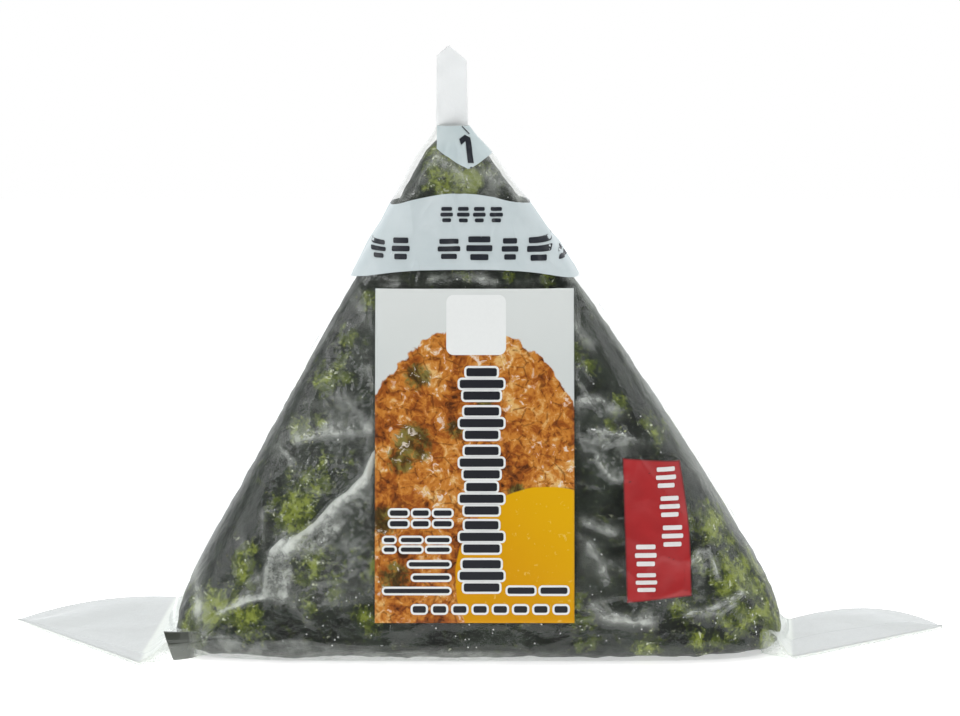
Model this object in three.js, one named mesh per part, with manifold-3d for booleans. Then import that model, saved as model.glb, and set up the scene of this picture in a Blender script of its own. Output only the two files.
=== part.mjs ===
// A convenience-store onigiri: a triangular rice ball in seaweed, shut in a clear film wrapper.
// The wrapper is one piece of film: a rounded triangular pack that stands on its flat base, with
// a pull tab at the top and a thin pressed ear lying out from each lower corner. A paper label
// is stuck on the front. Millimetres, +Z up, the front looks along -Y, the origin is on the
// surface that the pack stands on, in the middle of its length and depth.

import * as THREE from "three";
import { mergeVertices } from "three/addons/utils/BufferGeometryUtils.js";
import Module from "manifold-3d";

const wasm = await Module();
wasm.setup();

// Driving dimensions of the pack.
const PACK_HEIGHT = 79; // to the top of the gathered film, under the tab
const BASE_LIMIT = 46.9; // half the length of the base
const LEFT_FOOT = -50.1; // where each sloping side would meet the ground
const RIGHT_FOOT = 50.5;
const LEFT_SLOPE = 0.554; // how far each side comes in for each millimetre of height
const RIGHT_SLOPE = 0.581;
const RIGHT_BULGE = 0.00098; // the right side is a little rounded
const CORNER_SOFTNESS = 1; // how gently a lower corner turns
const BASE_HALF_DEPTH = 19.3;
const TOP_HALF_DEPTH = 1.3; // the film is pinched nearly flat at the top
const BASE_EDGE_RADIUS = 3.2; // round edge between the base and the faces
const BASE_POWER = 5.6; // squareness of the horizontal sections, base and top
const TOP_POWER = 2.5;

// The ears, the pull tab, the tear strip that the tab pulls, and the overlap on each side.
const EAR_TIP = 72.3;
const EAR_THICKNESS = 0.8;
const EAR_ROOT_RISE = 2.8; // the film climbs this far from the ear to the pack's corner
const TAB_WIDTH = 4.8;
const TAB_TOP = 91;
const TAB_THICKNESS = 0.6;
const TAB_CURL = 0.9; // how far the tab's edges curl back
const STRIP_HALF_WIDTH = 2.6;
const STRIP_RELIEF = 0.35;
const FLAP_RELIEF = 0.45;

// The label.
const LABEL = { left: -15.5, right: 14.2, bottom: 6.4, top: 55.1 };
const LABEL_THICKNESS = 0.35;
const LABEL_GAP = 0.3;
const LABEL_FLAT_SHARE = 0.8; // of the pack's half-width, past which the label no longer bends

// Fineness of the meshes.
const RINGS = 44;
const AROUND = 88;

// Creases in the film: ends as [x, z] on a face, how far the crest stands out and its half-width.
const FRONT_CREASES = [
  { from: [-38.1, 7.8], to: [-32.1, 9.8], crest: 0.9, half: 1.5 },
  { from: [-32.1, 9.8], to: [-31.6, 14.9], crest: 0.9, half: 1.7 },
  { from: [-31.6, 14.9], to: [-20.7, 24.4], crest: 0.8, half: 2.2 },
  { from: [-20.7, 24.4], to: [-16.5, 30.5], crest: 1.1, half: 2.2 },
  { from: [-28.9, 31.9], to: [-16, 34.9], crest: 0.8, half: 1.9 },
  { from: [-29.4, 31.4], to: [-27.1, 27.5], crest: 0.5, half: 1.6 },
  { from: [-29.6, 9.8], to: [-29.2, 15.6], crest: 0.6, half: 1.8 },
  { from: [-22.2, 39.7], to: [-18, 36.5], crest: 0.5, half: 2 },
  { from: [16, 38.9], to: [18.2, 33.8], crest: 0.7, half: 1.8 },
  { from: [18.2, 33.8], to: [22.8, 33.1], crest: 0.7, half: 1.6 },
  { from: [16.8, 20.5], to: [20.5, 19], crest: 0.5, half: 1.8 },
  { from: [31.4, 7.8], to: [39.3, 10.9], crest: 0.7, half: 1.4 },
  { from: [31.9, 16.2], to: [34.2, 16.9], crest: 0.5, half: 1.4 },
  { from: [34.2, 16.9], to: [36.2, 12.8], crest: 0.6, half: 1.4 },
];
const BACK_CREASES = [
  { from: [-36, 8], to: [-22, 22], crest: 1.0, half: 2.0 },
  { from: [-22, 22], to: [-9, 27], crest: 0.7, half: 1.8 },
  { from: [37, 9], to: [20, 16], crest: 0.9, half: 2.0 },
  { from: [28, 30], to: [11, 38], crest: 0.8, half: 2.0 },
  { from: [-21, 42], to: [-8, 46], crest: 0.7, half: 1.8 },
  { from: [8, 57], to: [-9, 61], crest: 0.5, half: 1.6 },
  { from: [-13, 8], to: [-6, 15], crest: 0.6, half: 1.8 },
];
const CORNER_PLEATS = { count: 9, depth: 0.55, reach: 13 };
const TOP_PLEATS = { count: 7, depth: 0.35, reach: 14 };

// The ears' front and back edges, as [x, y, z] of the middle of the film: from inside the pack's
// corner (root), out to where the flat film begins (spread), and from there to the tip. The back
// edge is a curve pulled towards bow.
const LEFT_EAR = {
  frontRoot: [-42.5, -15, 0.9],
  frontSpread: [-50.6, -20.2, 0.45],
  backRoot: [-42.5, 15, 0.9],
  backSpread: [-48.8, 20.2, 0.5],
  bow: [-62, 20.6, 1.2],
  tip: [-EAR_TIP, 3, 1.1],
  doubledShare: 0.12,
};
const RIGHT_EAR = {
  frontRoot: [42.5, -15, 0.9],
  frontSpread: [47, -17.2, 0.5],
  backRoot: [42.5, 8, 0.9],
  backSpread: [48.8, 6, 0.5],
  bow: [64.5, 19, 1.3],
  tip: [EAR_TIP, 0.5, 0.6],
  doubledShare: 0.42,
};
const EAR_REACH = 0.985; // an ear's mesh ends a hair short of the tip, so that no face vanishes
const EAR_ROOT_STEPS = 3;
const EAR_FLAT_STEPS = 11;
const EAR_ROWS = 10;
const EAR_RIPPLE = 0.35;
const DOUBLED_FILM = 0.3; // the folded hem along an ear's front edge

const clamp01 = (t) => Math.min(1, Math.max(0, t));
const mix = (a, b, t) => a + (b - a) * t;
const smooth = (low, high, value) => {
  const t = clamp01((value - low) / (high - low));
  return t * t * (3 - 2 * t);
};

// The lower of two values, with the change from one to the other rounded off.
function softMin(a, b, softness) {
  return -softness * Math.log(Math.exp(-a / softness) + Math.exp(-b / softness));
}

// The horizontal section at height z: its centre, half-width, half-depth and squareness.
function section(z) {
  const rightSide = RIGHT_FOOT - RIGHT_SLOPE * z - RIGHT_BULGE * z * z;
  const leftSide = -LEFT_FOOT - LEFT_SLOPE * z;
  const right = softMin(rightSide, BASE_LIMIT, CORNER_SOFTNESS);
  const left = -softMin(leftSide, BASE_LIMIT, CORNER_SOFTNESS);
  const share = clamp01(z / PACK_HEIGHT);
  const taper = Math.pow(1 - Math.pow(share, 1.2), 0.93);
  const over = Math.max(0, BASE_EDGE_RADIUS - z);
  const inset =
    BASE_EDGE_RADIUS - Math.sqrt(BASE_EDGE_RADIUS * BASE_EDGE_RADIUS - over * over);
  return {
    centre: (left + right) / 2,
    halfWidth: (right - left) / 2 - inset,
    halfDepth: mix(TOP_HALF_DEPTH, BASE_HALF_DEPTH, taper) - inset,
    power: mix(BASE_POWER, TOP_POWER, smooth(0.74, 1, share)),
  };
}

// A point on the smooth pack at an angle round the section. Angle 0 is the right side and
// -90 degrees the front.
function smoothPoint(angle, z) {
  const s = section(z);
  const c = Math.cos(angle);
  const d = Math.sin(angle);
  const x = Math.sign(c) * Math.pow(Math.abs(c), 2 / s.power);
  const y = Math.sign(d) * Math.pow(Math.abs(d), 2 / s.power);
  return new THREE.Vector3(s.centre + s.halfWidth * x, s.halfDepth * y, z);
}

function smoothNormal(angle, z) {
  const turn = 0.01;
  const rise = 0.05;
  const along = smoothPoint(angle + turn, z).sub(smoothPoint(angle - turn, z));
  const low = Math.max(0, z - rise);
  const high = Math.min(PACK_HEIGHT, z + rise);
  const up = smoothPoint(angle, high).sub(smoothPoint(angle, low));
  return along.cross(up).normalize();
}

// A crest along a straight crease, sharper than a bell curve, that dies away at its ends.
function creaseHeight(x, z, crease) {
  const [ax, az] = crease.from;
  const [bx, bz] = crease.to;
  const length = Math.hypot(bx - ax, bz - az);
  const ux = (bx - ax) / length;
  const uz = (bz - az) / length;
  const t = clamp01(((x - ax) * ux + (z - az) * uz) / length) * length;
  const away = Math.hypot(x - ax - t * ux, z - az - t * uz);
  return crease.crest * Math.exp(-Math.pow(away / crease.half, 1.5));
}

// Small folds that run out like rays from a gathered corner.
function pleats(x, z, cornerX, cornerZ, kind) {
  const radius = Math.hypot(x - cornerX, z - cornerZ);
  const turn = Math.atan2(z - cornerZ, x - cornerX);
  const start = smooth(1, 5, radius);
  const fade = Math.exp(-Math.pow(radius / kind.reach, 2));
  return kind.depth * start * fade * Math.sin(2 * kind.count * turn);
}

// The middle of the tear strip: under the tab at the top, and the middle of the base below.
const topCentre = section(PACK_HEIGHT).centre;
const stripX = (z) => mix(0, topCentre, z / PACK_HEIGHT);

// 1 where the label holds the film flat, 0 well away from it.
function underLabel(x, z) {
  const outside = Math.max(
    LABEL.left - x,
    x - LABEL.right,
    LABEL.bottom - z,
    z - LABEL.top,
  );
  return 1 - smooth(2, 4.5, outside);
}

// How far the film stands out from the smooth pack.
function relief(point, normal) {
  const { x, y, z } = point;
  const s = section(z);
  const across = Math.abs((x - s.centre) / s.halfWidth);
  const onFace = 1 - smooth(0.8, 0.98, across);
  const clearOfBase = smooth(1.2, 4.5, z);
  const clearOfTop = 1 - smooth(PACK_HEIGHT - 5, PACK_HEIGHT - 1, z);
  let height = 0;
  for (const crease of y < 0 ? FRONT_CREASES : BACK_CREASES)
    height += creaseHeight(x, z, crease);
  height += pleats(x, z, -BASE_LIMIT, 0, CORNER_PLEATS);
  height += pleats(x, z, BASE_LIMIT, 0, CORNER_PLEATS);
  height += pleats(x, z, topCentre, PACK_HEIGHT, TOP_PLEATS);
  height *= onFace;
  if (y < 0) {
    height *= 1 - underLabel(x, z);
  } else {
    const beside = Math.abs(x - stripX(z)) - STRIP_HALF_WIDTH;
    const onStrip = onFace * (1 - smooth(-0.4, 0.4, beside));
    height = mix(height, STRIP_RELIEF, onStrip);
  }
  const onSide = smooth(0.55, 0.9, Math.abs(normal.x));
  const frontFlap = 1 - smooth(-0.6, 0.6, y - 0.12 * (z - 30));
  height += onSide * FLAP_RELIEF * frontFlap;
  return height * clearOfBase * clearOfTop;
}

function filmPoint(angle, z, lift = 0) {
  const point = smoothPoint(angle, z);
  const normal = smoothNormal(angle, z);
  return point.addScaledVector(normal, relief(point, normal) + lift);
}

// Angles that space the points evenly round a section low on the pack.
function evenAngles(count) {
  const steps = 4000;
  const reference = 24;
  const lengths = [0];
  let last = smoothPoint(-Math.PI, reference);
  for (let i = 1; i <= steps; i++) {
    const next = smoothPoint(-Math.PI + (2 * Math.PI * i) / steps, reference);
    lengths.push(lengths[i - 1] + next.distanceTo(last));
    last = next;
  }
  const angles = [];
  let at = 0;
  for (let i = 0; i < count; i++) {
    const wanted = (lengths[steps] * i) / count;
    while (lengths[at + 1] < wanted) at++;
    const part = (wanted - lengths[at]) / (lengths[at + 1] - lengths[at]);
    angles.push(-Math.PI + (2 * Math.PI * (at + part)) / steps);
  }
  return angles;
}

// Heights of the rings: close together over the round base edge, even above it.
function ringHeights() {
  const heights = [0, 0.35, 1.1, 2.1];
  const rest = RINGS - heights.length;
  for (let i = 0; i < rest; i++)
    heights.push(mix(BASE_EDGE_RADIUS, PACK_HEIGHT, i / (rest - 1)));
  return heights;
}

// A closed geometry from rings of points, each joined to the next, with both ends capped.
function geometryFromRings(rings) {
  const count = rings[0].length;
  const points = rings.flat();
  const triangles = [];
  for (let j = 0; j < rings.length - 1; j++)
    for (let i = 0; i < count; i++) {
      const a = j * count + i;
      const b = j * count + ((i + 1) % count);
      triangles.push(a, b, b + count, a, b + count, a + count);
    }
  const cap = (start, faceUp) => {
    const middle = new THREE.Vector3();
    for (let i = 0; i < count; i++) middle.add(points[start + i]);
    points.push(middle.divideScalar(count));
    const centre = points.length - 1;
    for (let i = 0; i < count; i++) {
      const a = start + i;
      const b = start + ((i + 1) % count);
      triangles.push(centre, faceUp ? a : b, faceUp ? b : a);
    }
  };
  cap(0, false);
  cap((rings.length - 1) * count, true);
  return new THREE.BufferGeometry().setFromPoints(points).setIndex(triangles);
}

// A closed geometry between two grids of points that face each other, split into triangles
// alike. The outer one is seen with its rows running up and its columns to the right.
function geometryBetween(outer, inner) {
  const down = outer.length;
  const across = outer[0].length;
  const size = down * across;
  const triangles = [];
  const quad = (a, b, c, d) => triangles.push(a, b, c, a, c, d);
  for (let j = 0; j < down - 1; j++)
    for (let i = 0; i < across - 1; i++) {
      const a = j * across + i;
      const b = a + 1;
      const c = b + across;
      const d = a + across;
      quad(a, b, c, d);
      triangles.push(size + a, size + c, size + b, size + a, size + d, size + c);
    }
  for (let i = 0; i < across - 1; i++) {
    const top = (down - 1) * across + i;
    quad(i, size + i, size + i + 1, i + 1);
    quad(top, top + 1, size + top + 1, size + top);
  }
  for (let j = 0; j < down - 1; j++) {
    const left = j * across;
    const right = left + across - 1;
    quad(left, left + across, size + left + across, size + left);
    quad(right, size + right, size + right + across, right + across);
  }
  return new THREE.BufferGeometry()
    .setFromPoints([...outer.flat(), ...inner.flat()])
    .setIndex(triangles);
}

// A sheet of even thickness on a grid of points.
function geometryFromSheet(rows, thickness) {
  const at = (j, i) =>
    rows[Math.min(rows.length - 1, Math.max(0, j))][
      Math.min(rows[0].length - 1, Math.max(0, i))
    ];
  const moved = (distance) =>
    rows.map((row, j) =>
      row.map((point, i) => {
        const along = at(j, i + 1).clone().sub(at(j, i - 1));
        const up = at(j + 1, i).clone().sub(at(j - 1, i));
        const normal = along.cross(up).normalize();
        return point.clone().addScaledVector(normal, distance);
      }),
    );
  return geometryBetween(moved(thickness / 2), moved(-thickness / 2));
}

function solidFrom(geometry) {
  const bare = geometry.clone();
  bare.deleteAttribute("normal");
  bare.deleteAttribute("uv");
  const merged = mergeVertices(bare, 1e-4);
  return new wasm.Manifold(
    new wasm.Mesh({
      numProp: 3,
      vertProperties: new Float32Array(merged.attributes.position.array),
      triVerts: new Uint32Array(merged.index.array),
    }),
  );
}

function geometryFrom(solid) {
  const mesh = solid.getMesh();
  const geometry = new THREE.BufferGeometry()
    .setAttribute("position", new THREE.BufferAttribute(mesh.vertProperties, 3))
    .setIndex(new THREE.BufferAttribute(mesh.triVerts, 1));
  geometry.computeVertexNormals();
  return geometry;
}

// The film body with its creases.
function bodyGeometry() {
  const angles = evenAngles(AROUND);
  return geometryFromRings(
    ringHeights().map((z) => angles.map((angle) => filmPoint(angle, z))),
  );
}

// Points along an ear's edge: straight from the root to the spread, then on a curve to the tip.
function earEdge(root, spread, bow, tip) {
  const straight = new THREE.LineCurve3(root, spread).getPoints(EAR_ROOT_STEPS);
  const curve = new THREE.QuadraticBezierCurve3(spread, bow, tip);
  for (let i = 1; i <= EAR_FLAT_STEPS; i++)
    straight.push(curve.getPoint((EAR_REACH * i) / EAR_FLAT_STEPS));
  return straight;
}

// An ear: the film beyond the end of the rice, pressed into a flat three-cornered flap whose
// front edge is folded over into a hem. Its thick root joins it to the pack's corner.
function earGeometry(ear, mirrored) {
  const [frontRoot, frontSpread, backRoot, backSpread, bow, tip] = [
    ear.frontRoot,
    ear.frontSpread,
    ear.backRoot,
    ear.backSpread,
    ear.bow,
    ear.tip,
  ].map((place) => new THREE.Vector3(...place));
  const halfway = frontSpread.clone().lerp(tip, 0.5);
  const frontEdge = earEdge(frontRoot, frontSpread, halfway, tip);
  const backEdge = earEdge(backRoot, backSpread, bow, tip);
  const top = [];
  const bottom = [];
  for (let j = 0; j <= EAR_ROWS; j++) {
    const share = j / EAR_ROWS;
    const topRow = [];
    const bottomRow = [];
    for (let i = 0; i < frontEdge.length; i++) {
      const middle = frontEdge[i].clone().lerp(backEdge[i], share);
      const out = i / (frontEdge.length - 1);
      const wave = Math.sin(Math.PI * share) * Math.sin(2.4 * Math.PI * out + 5 * share);
      middle.z += EAR_RIPPLE * Math.max(0, wave) * (1 - smooth(0.8, 1, out));
      const hem = DOUBLED_FILM * (1 - smooth(-0.06, 0.06, share - ear.doubledShare));
      const rise = EAR_ROOT_RISE * (1 - smooth(0.3, 1, i / EAR_ROOT_STEPS));
      const half = EAR_THICKNESS / 2;
      topRow.push(new THREE.Vector3(middle.x, middle.y, middle.z + half + hem + rise));
      bottomRow.push(new THREE.Vector3(middle.x, middle.y, middle.z - half));
    }
    top.push(mirrored ? topRow.reverse() : topRow);
    bottom.push(mirrored ? bottomRow.reverse() : bottomRow);
  }
  return geometryBetween(top, bottom);
}

// The pull tab: a narrow strip with its right edge curled back and its end cut to a low point.
function tabGeometry() {
  const foot = PACK_HEIGHT - 5;
  const steps = 12;
  const across = 6;
  const rows = [];
  for (let j = 0; j <= steps; j++) {
    const rise = j / steps;
    const row = [];
    for (let i = 0; i <= across; i++) {
      const s = i / across;
      const x = topCentre + (s - 0.52) * TAB_WIDTH * mix(1, 0.93, rise) - 0.1 * rise;
      const curl = TAB_CURL * (2 * Math.pow(s, 1.6) - 0.6) * smooth(0, 0.3, rise);
      const cut = 4 * Math.abs(s - 0.4);
      const z = foot + (TAB_TOP - foot) * rise - cut * smooth(0.7, 1, rise);
      row.push(new THREE.Vector3(x, curl - 0.2, z));
    }
    rows.push(row);
  }
  return geometryFromSheet(rows, TAB_THICKNESS);
}

// The angle round the section at which the front face has this x.
function frontAngle(x, z) {
  const s = section(z);
  const share = (x - s.centre) / s.halfWidth;
  return -Math.acos(Math.sign(share) * Math.pow(Math.abs(share), s.power / 2));
}

// The label follows the front face, clear of the film by a small gap. It is stiff enough to stay
// flat where the film bends away at the pack's sides.
function labelGeometry() {
  const across = 10;
  const up = 14;
  const lift = LABEL_GAP + LABEL_THICKNESS / 2;
  const rows = [];
  for (let j = 0; j <= up; j++) {
    const z = mix(LABEL.bottom, LABEL.top, j / up);
    const s = section(z);
    const flat = LABEL_FLAT_SHARE * s.halfWidth;
    const row = [];
    for (let i = 0; i <= across; i++) {
      const x = mix(LABEL.left, LABEL.right, i / across);
      const followed = Math.min(s.centre + flat, Math.max(s.centre - flat, x));
      const point = filmPoint(frontAngle(followed, z), z, lift);
      row.push(point.setX(x));
    }
    rows.push(row);
  }
  return geometryFromSheet(rows, LABEL_THICKNESS);
}

const filmMaterial = new THREE.MeshStandardMaterial({
  color: 0x4a5343,
  roughness: 0.25,
  metalness: 0,
});
const labelMaterial = new THREE.MeshStandardMaterial({
  color: 0xc98a45,
  roughness: 0.4,
  metalness: 0,
});

function mesh(name, geometry, material) {
  const made = new THREE.Mesh(geometry, material);
  made.name = name;
  return made;
}

const wrapper = solidFrom(bodyGeometry())
  .add(solidFrom(earGeometry(LEFT_EAR, true)))
  .add(solidFrom(earGeometry(RIGHT_EAR, false)))
  .add(solidFrom(tabGeometry()));

const group = new THREE.Group();
group.add(mesh("film_pack", geometryFrom(wrapper), filmMaterial));
group.add(mesh("front_label", labelGeometry(), labelMaterial));

export default group;
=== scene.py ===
"""A triangular rice ball in seaweed, shut in a clear film wrapper with a label on its front.

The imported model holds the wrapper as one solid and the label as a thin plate. Here the wrapper
becomes clear wrinkled film over the seaweed, with the print on the film, and the label gets its
picture. Lengths in the functions are millimetres, in the model's own frame: +Z up, the front
looks along -Y. Meshes are written in metres.
"""

import math

import bpy
import numpy as np
from mathutils import Matrix, Vector


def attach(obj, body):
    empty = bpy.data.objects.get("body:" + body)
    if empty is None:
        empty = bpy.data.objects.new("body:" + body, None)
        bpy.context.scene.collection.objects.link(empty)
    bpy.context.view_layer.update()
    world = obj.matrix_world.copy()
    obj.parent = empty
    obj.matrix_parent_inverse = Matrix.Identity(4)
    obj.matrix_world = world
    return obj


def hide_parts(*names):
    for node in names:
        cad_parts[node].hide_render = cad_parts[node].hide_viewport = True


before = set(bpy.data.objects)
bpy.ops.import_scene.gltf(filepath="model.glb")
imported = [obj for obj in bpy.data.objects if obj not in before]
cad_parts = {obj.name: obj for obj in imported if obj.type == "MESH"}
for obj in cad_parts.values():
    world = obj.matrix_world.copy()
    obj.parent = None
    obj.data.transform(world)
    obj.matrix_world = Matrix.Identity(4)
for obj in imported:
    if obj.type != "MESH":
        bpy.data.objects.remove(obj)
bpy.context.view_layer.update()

MM = 0.001

# The pack's form, as in the model. Heights are above the surface that it stands on.
PACK_HEIGHT = 79.0
BASE_LIMIT = 46.9
LEFT_FOOT = -50.1
RIGHT_FOOT = 50.5
LEFT_SLOPE = 0.554
RIGHT_SLOPE = 0.581
RIGHT_BULGE = 0.00098
CORNER_SOFTNESS = 1.0
BASE_HALF_DEPTH = 19.3
TOP_HALF_DEPTH = 1.3
BASE_EDGE_RADIUS = 3.2
BASE_POWER = 5.6
TOP_POWER = 2.5

# The camera stands where the photograph's did.
CAMERA_ELEVATION = 9.5
CAMERA_DISTANCE = 450.0
CAMERA_TARGET = (0.15, 0.0, 43.28)
PIXELS_PER_MM = 6.68
PICTURE_WIDTH = 960
FOCUS_DISTANCE = 440.35

rng = np.random.default_rng(7)


# Small numeric helpers.


def mix(a, b, t):
    return a + (b - a) * t


def smooth(low, high, value):
    t = np.clip((value - low) / (high - low), 0.0, 1.0)
    return t * t * (3.0 - 2.0 * t)


def soft_min(a, b, softness):
    return -softness * np.logaddexp(-a / softness, -b / softness)


class Noise:
    """Smooth random values in space, between about -1 and 1, the same on each run."""

    def __init__(self, seed):
        draw = np.random.default_rng(seed)
        self.order = draw.permutation(256)
        directions = draw.normal(size=(256, 3))
        self.directions = directions / np.linalg.norm(directions, axis=1, keepdims=True)

    def corner(self, cell):
        order = self.order
        return order[(order[(order[cell[:, 0] % 256] + cell[:, 1]) % 256] + cell[:, 2]) % 256]

    def at(self, points, size):
        """Noise at points, an array of rows, with bumps about size across."""
        scaled = points / size
        cell = np.floor(scaled).astype(int)
        part = scaled - cell
        fade = part * part * part * (part * (part * 6.0 - 15.0) + 10.0)
        total = np.zeros(len(points))
        for corner in np.ndindex(2, 2, 2):
            step = np.array(corner)
            gradient = self.directions[self.corner(cell + step)]
            value = np.einsum("ij,ij->i", gradient, part - step)
            weight = np.where(step == 1, fade, 1.0 - fade).prod(axis=1)
            total += weight * value
        return 1.6 * total

    def ridges(self, points, size):
        """Sharp crests, 1 on the crest and falling to 0 away from it."""
        return 1.0 - np.abs(np.clip(self.at(points, size) * 1.6, -1.0, 1.0))


# The pack's smooth form.


def squared_ring(angle, power):
    """x and y on a squared circle of radius 1, at an angle round it."""
    c, d = np.cos(angle), np.sin(angle)
    return np.sign(c) * np.abs(c) ** (2.0 / power), np.sign(d) * np.abs(d) ** (2.0 / power)


def foot_inset(height, radius):
    """How far a form with a rounded lower edge is drawn in, at a height above its bottom."""
    over = np.clip(radius - height, 0.0, radius)
    return radius - np.sqrt(radius**2 - over**2)


def stacked(x, y, z):
    """Points from arrays of their coordinates."""
    return np.stack(np.broadcast_arrays(x, y, z), axis=-1)


def section(z):
    """Centre, half-width, half-depth and squareness of the horizontal section at height z."""
    right_side = RIGHT_FOOT - RIGHT_SLOPE * z - RIGHT_BULGE * z * z
    left_side = -LEFT_FOOT - LEFT_SLOPE * z
    right = soft_min(right_side, BASE_LIMIT, CORNER_SOFTNESS)
    left = -soft_min(left_side, BASE_LIMIT, CORNER_SOFTNESS)
    share = np.clip(z / PACK_HEIGHT, 0.0, 1.0)
    taper = (1.0 - share**1.2) ** 0.93
    inset = foot_inset(z, BASE_EDGE_RADIUS)
    centre = (left + right) / 2.0
    half_width = (right - left) / 2.0 - inset
    half_depth = mix(TOP_HALF_DEPTH, BASE_HALF_DEPTH, taper) - inset
    power = mix(BASE_POWER, TOP_POWER, smooth(0.74, 1.0, share))
    return centre, half_width, half_depth, power


def smooth_point(angle, z):
    centre, half_width, half_depth, power = section(z)
    x, y = squared_ring(angle, power)
    return stacked(centre + half_width * x, half_depth * y, z)


def smooth_normal(angle, z):
    turn, rise = 0.01, 0.05
    along = smooth_point(angle + turn, z) - smooth_point(angle - turn, z)
    low = np.clip(z - rise, 0.0, PACK_HEIGHT)
    high = np.clip(z + rise, 0.0, PACK_HEIGHT)
    up = smooth_point(angle, high) - smooth_point(angle, low)
    normal = np.cross(along, up)
    return normal / np.linalg.norm(normal, axis=-1, keepdims=True)


def angle_at(x, z):
    """The angle round the section at which the front face has this x. The back's is minus it."""
    centre, half_width, _, power = section(z)
    share = np.clip((x - centre) / half_width, -1.0, 1.0)
    return -np.arccos(np.sign(share) * np.abs(share) ** (power / 2.0))


# Wrinkles of the film: how far it stands out from the smooth form.

# Each crease: its line on the face as x and z, its height, the width of its left and right flanks
# as seen along the line, and how much whiter the film is on it: partly the film's haze and partly
# a painted highlight along the crease.
FRONT_CREASES = [
    ([(-28.3, 18.2), (-26.7, 19.3), (-24.4, 21.0), (-21.9, 23.8), (-19.2, 25.8),
      (-17.1, 28.0), (-15.8, 31.2)], 0.9, 0.22, 1.15, 0.70),
    ([(-28.0, 18.1), (-25.3, 17.1), (-23.4, 17.2), (-21.6, 19.0), (-20.4, 21.3)],
     0.35, 1.5, 0.3, 0.22),
    ([(-32.1, 10.1), (-31.9, 13.9), (-31.1, 16.8), (-29.5, 18.4)], 0.6, 0.20, 0.7, 0.42),
    ([(-28.1, 18.2), (-28.4, 15.6), (-28.0, 13.4), (-28.9, 10.3)], 0.4, 0.3, 1.4, 0.25),
    ([(-38.4, 7.5), (-37.0, 8.3), (-35.7, 8.9), (-34.6, 9.5), (-32.2, 9.9)],
     0.5, 0.45, 0.20, 0.62),
    ([(-32.1, 9.9), (-28.9, 9.5), (-26.9, 8.3), (-25.5, 6.5)], 0.3, 0.8, 0.25, 0.16),
    ([(-32.2, 22.2), (-32.0, 15.6)], 0.22, 0.4, 0.4, 0.14),
    ([(-35.4, 18.1), (-34.4, 15.6), (-33.0, 13.0)], 0.22, 0.45, 0.45, 0.14),
    ([(-42.8, 14.5), (-42.2, 10.5), (-42.0, 6.6)], 0.4, 0.9, 0.5, 0.26),
    ([(-27.6, 32.7), (-24.6, 33.5), (-20.7, 34.1), (-16.1, 34.6)], 0.6, 1.5, 0.45, 0.30),
    ([(-29.7, 31.7), (-27.6, 29.8)], 0.4, 0.35, 0.9, 0.26),
    ([(-22.2, 39.7), (-20.0, 39.0), (-18.0, 37.5)], 0.4, 1.2, 0.8, 0.16),
    ([(-17.0, 43.5), (-15.8, 41.0)], 0.3, 0.7, 0.6, 0.14),
    ([(14.2, 52.0), (14.6, 49.1), (16.6, 46.9)], 0.4, 0.5, 0.8, 0.16),
    ([(14.2, 44.3), (14.6, 42.1), (15.7, 40.1), (16.7, 38.4), (18.0, 37.2)],
     0.4, 0.28, 0.35, 0.30),
    ([(15.1, 38.9), (17.0, 39.3), (19.8, 38.2)], 0.5, 0.4, 1.2, 0.40),
    ([(16.8, 34.3), (18.5, 34.4), (21.6, 33.7)], 0.6, 0.4, 1.5, 0.42),
    ([(18.9, 32.1), (21.6, 33.7)], 0.3, 0.3, 0.3, 0.16),
    ([(17.6, 30.5), (18.6, 28.7), (19.8, 27.6), (21.0, 27.3)], 0.5, 0.8, 0.4, 0.32),
    ([(15.8, 21.2), (18.0, 20.3), (19.8, 19.6)], 0.35, 0.7, 0.5, 0.22),
    ([(16.5, 17.8), (18.0, 15.6), (18.9, 12.7)], 0.35, 0.6, 0.6, 0.20),
    ([(17.1, 8.9), (18.6, 7.3), (21.7, 6.8), (25.5, 6.5)], 0.6, 0.6, 0.6, 0.38),
    ([(18.0, 8.0), (19.2, 6.8), (20.7, 7.4)], 0.3, 0.4, 0.3, 0.22),
    ([(31.6, 15.2), (32.9, 16.8), (34.1, 16.8), (35.1, 14.6), (35.7, 12.8)],
     0.4, 0.3, 0.3, 0.28),
    ([(31.1, 7.8), (34.4, 8.3), (37.4, 9.5), (39.0, 10.3)], 0.5, 0.35, 0.5, 0.45),
    ([(32.9, 7.4), (35.9, 7.7), (38.1, 8.9)], 0.3, 0.3, 0.4, 0.26),
    ([(-8.6, 71.4), (-6.3, 74.4), (-4.4, 73.2), (-1.4, 70.7)], 0.35, 0.5, 1.3, 0.20),
    ([(2.6, 70.4), (1.0, 72.6)], 0.3, 0.9, 0.4, 0.18),
    ([(-7.0, 56.6), (-2.0, 57.0), (2.5, 56.2)], 0.35, 0.5, 0.6, 0.24),
    ([(-14.5, 52.5), (-12.5, 55.8)], 0.4, 0.9, 0.6, 0.20),
]
BACK_CREASES = [
    ([(-36.0, 8.0), (-29.0, 16.5), (-22.0, 22.0)], 1.0, 0.5, 2.2, 0.36),
    ([(-22.0, 22.0), (-9.0, 27.0)], 0.6, 0.5, 1.6, 0.24),
    ([(37.0, 9.0), (29.0, 11.0), (20.0, 16.0)], 0.8, 1.8, 0.5, 0.36),
    ([(28.0, 30.0), (20.0, 35.5), (11.0, 38.0)], 0.7, 0.5, 1.6, 0.28),
    ([(-21.0, 42.0), (-8.0, 46.0)], 0.6, 0.6, 1.2, 0.26),
    ([(8.0, 57.0), (-9.0, 61.0)], 0.4, 1.0, 0.5, 0.18),
    ([(-13.0, 8.0), (-6.0, 15.0)], 0.5, 0.5, 1.2, 0.22),
    ([(14.0, 6.0), (12.5, 14.0), (9.0, 21.0)], 0.5, 0.5, 1.2, 0.22),
]
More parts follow.
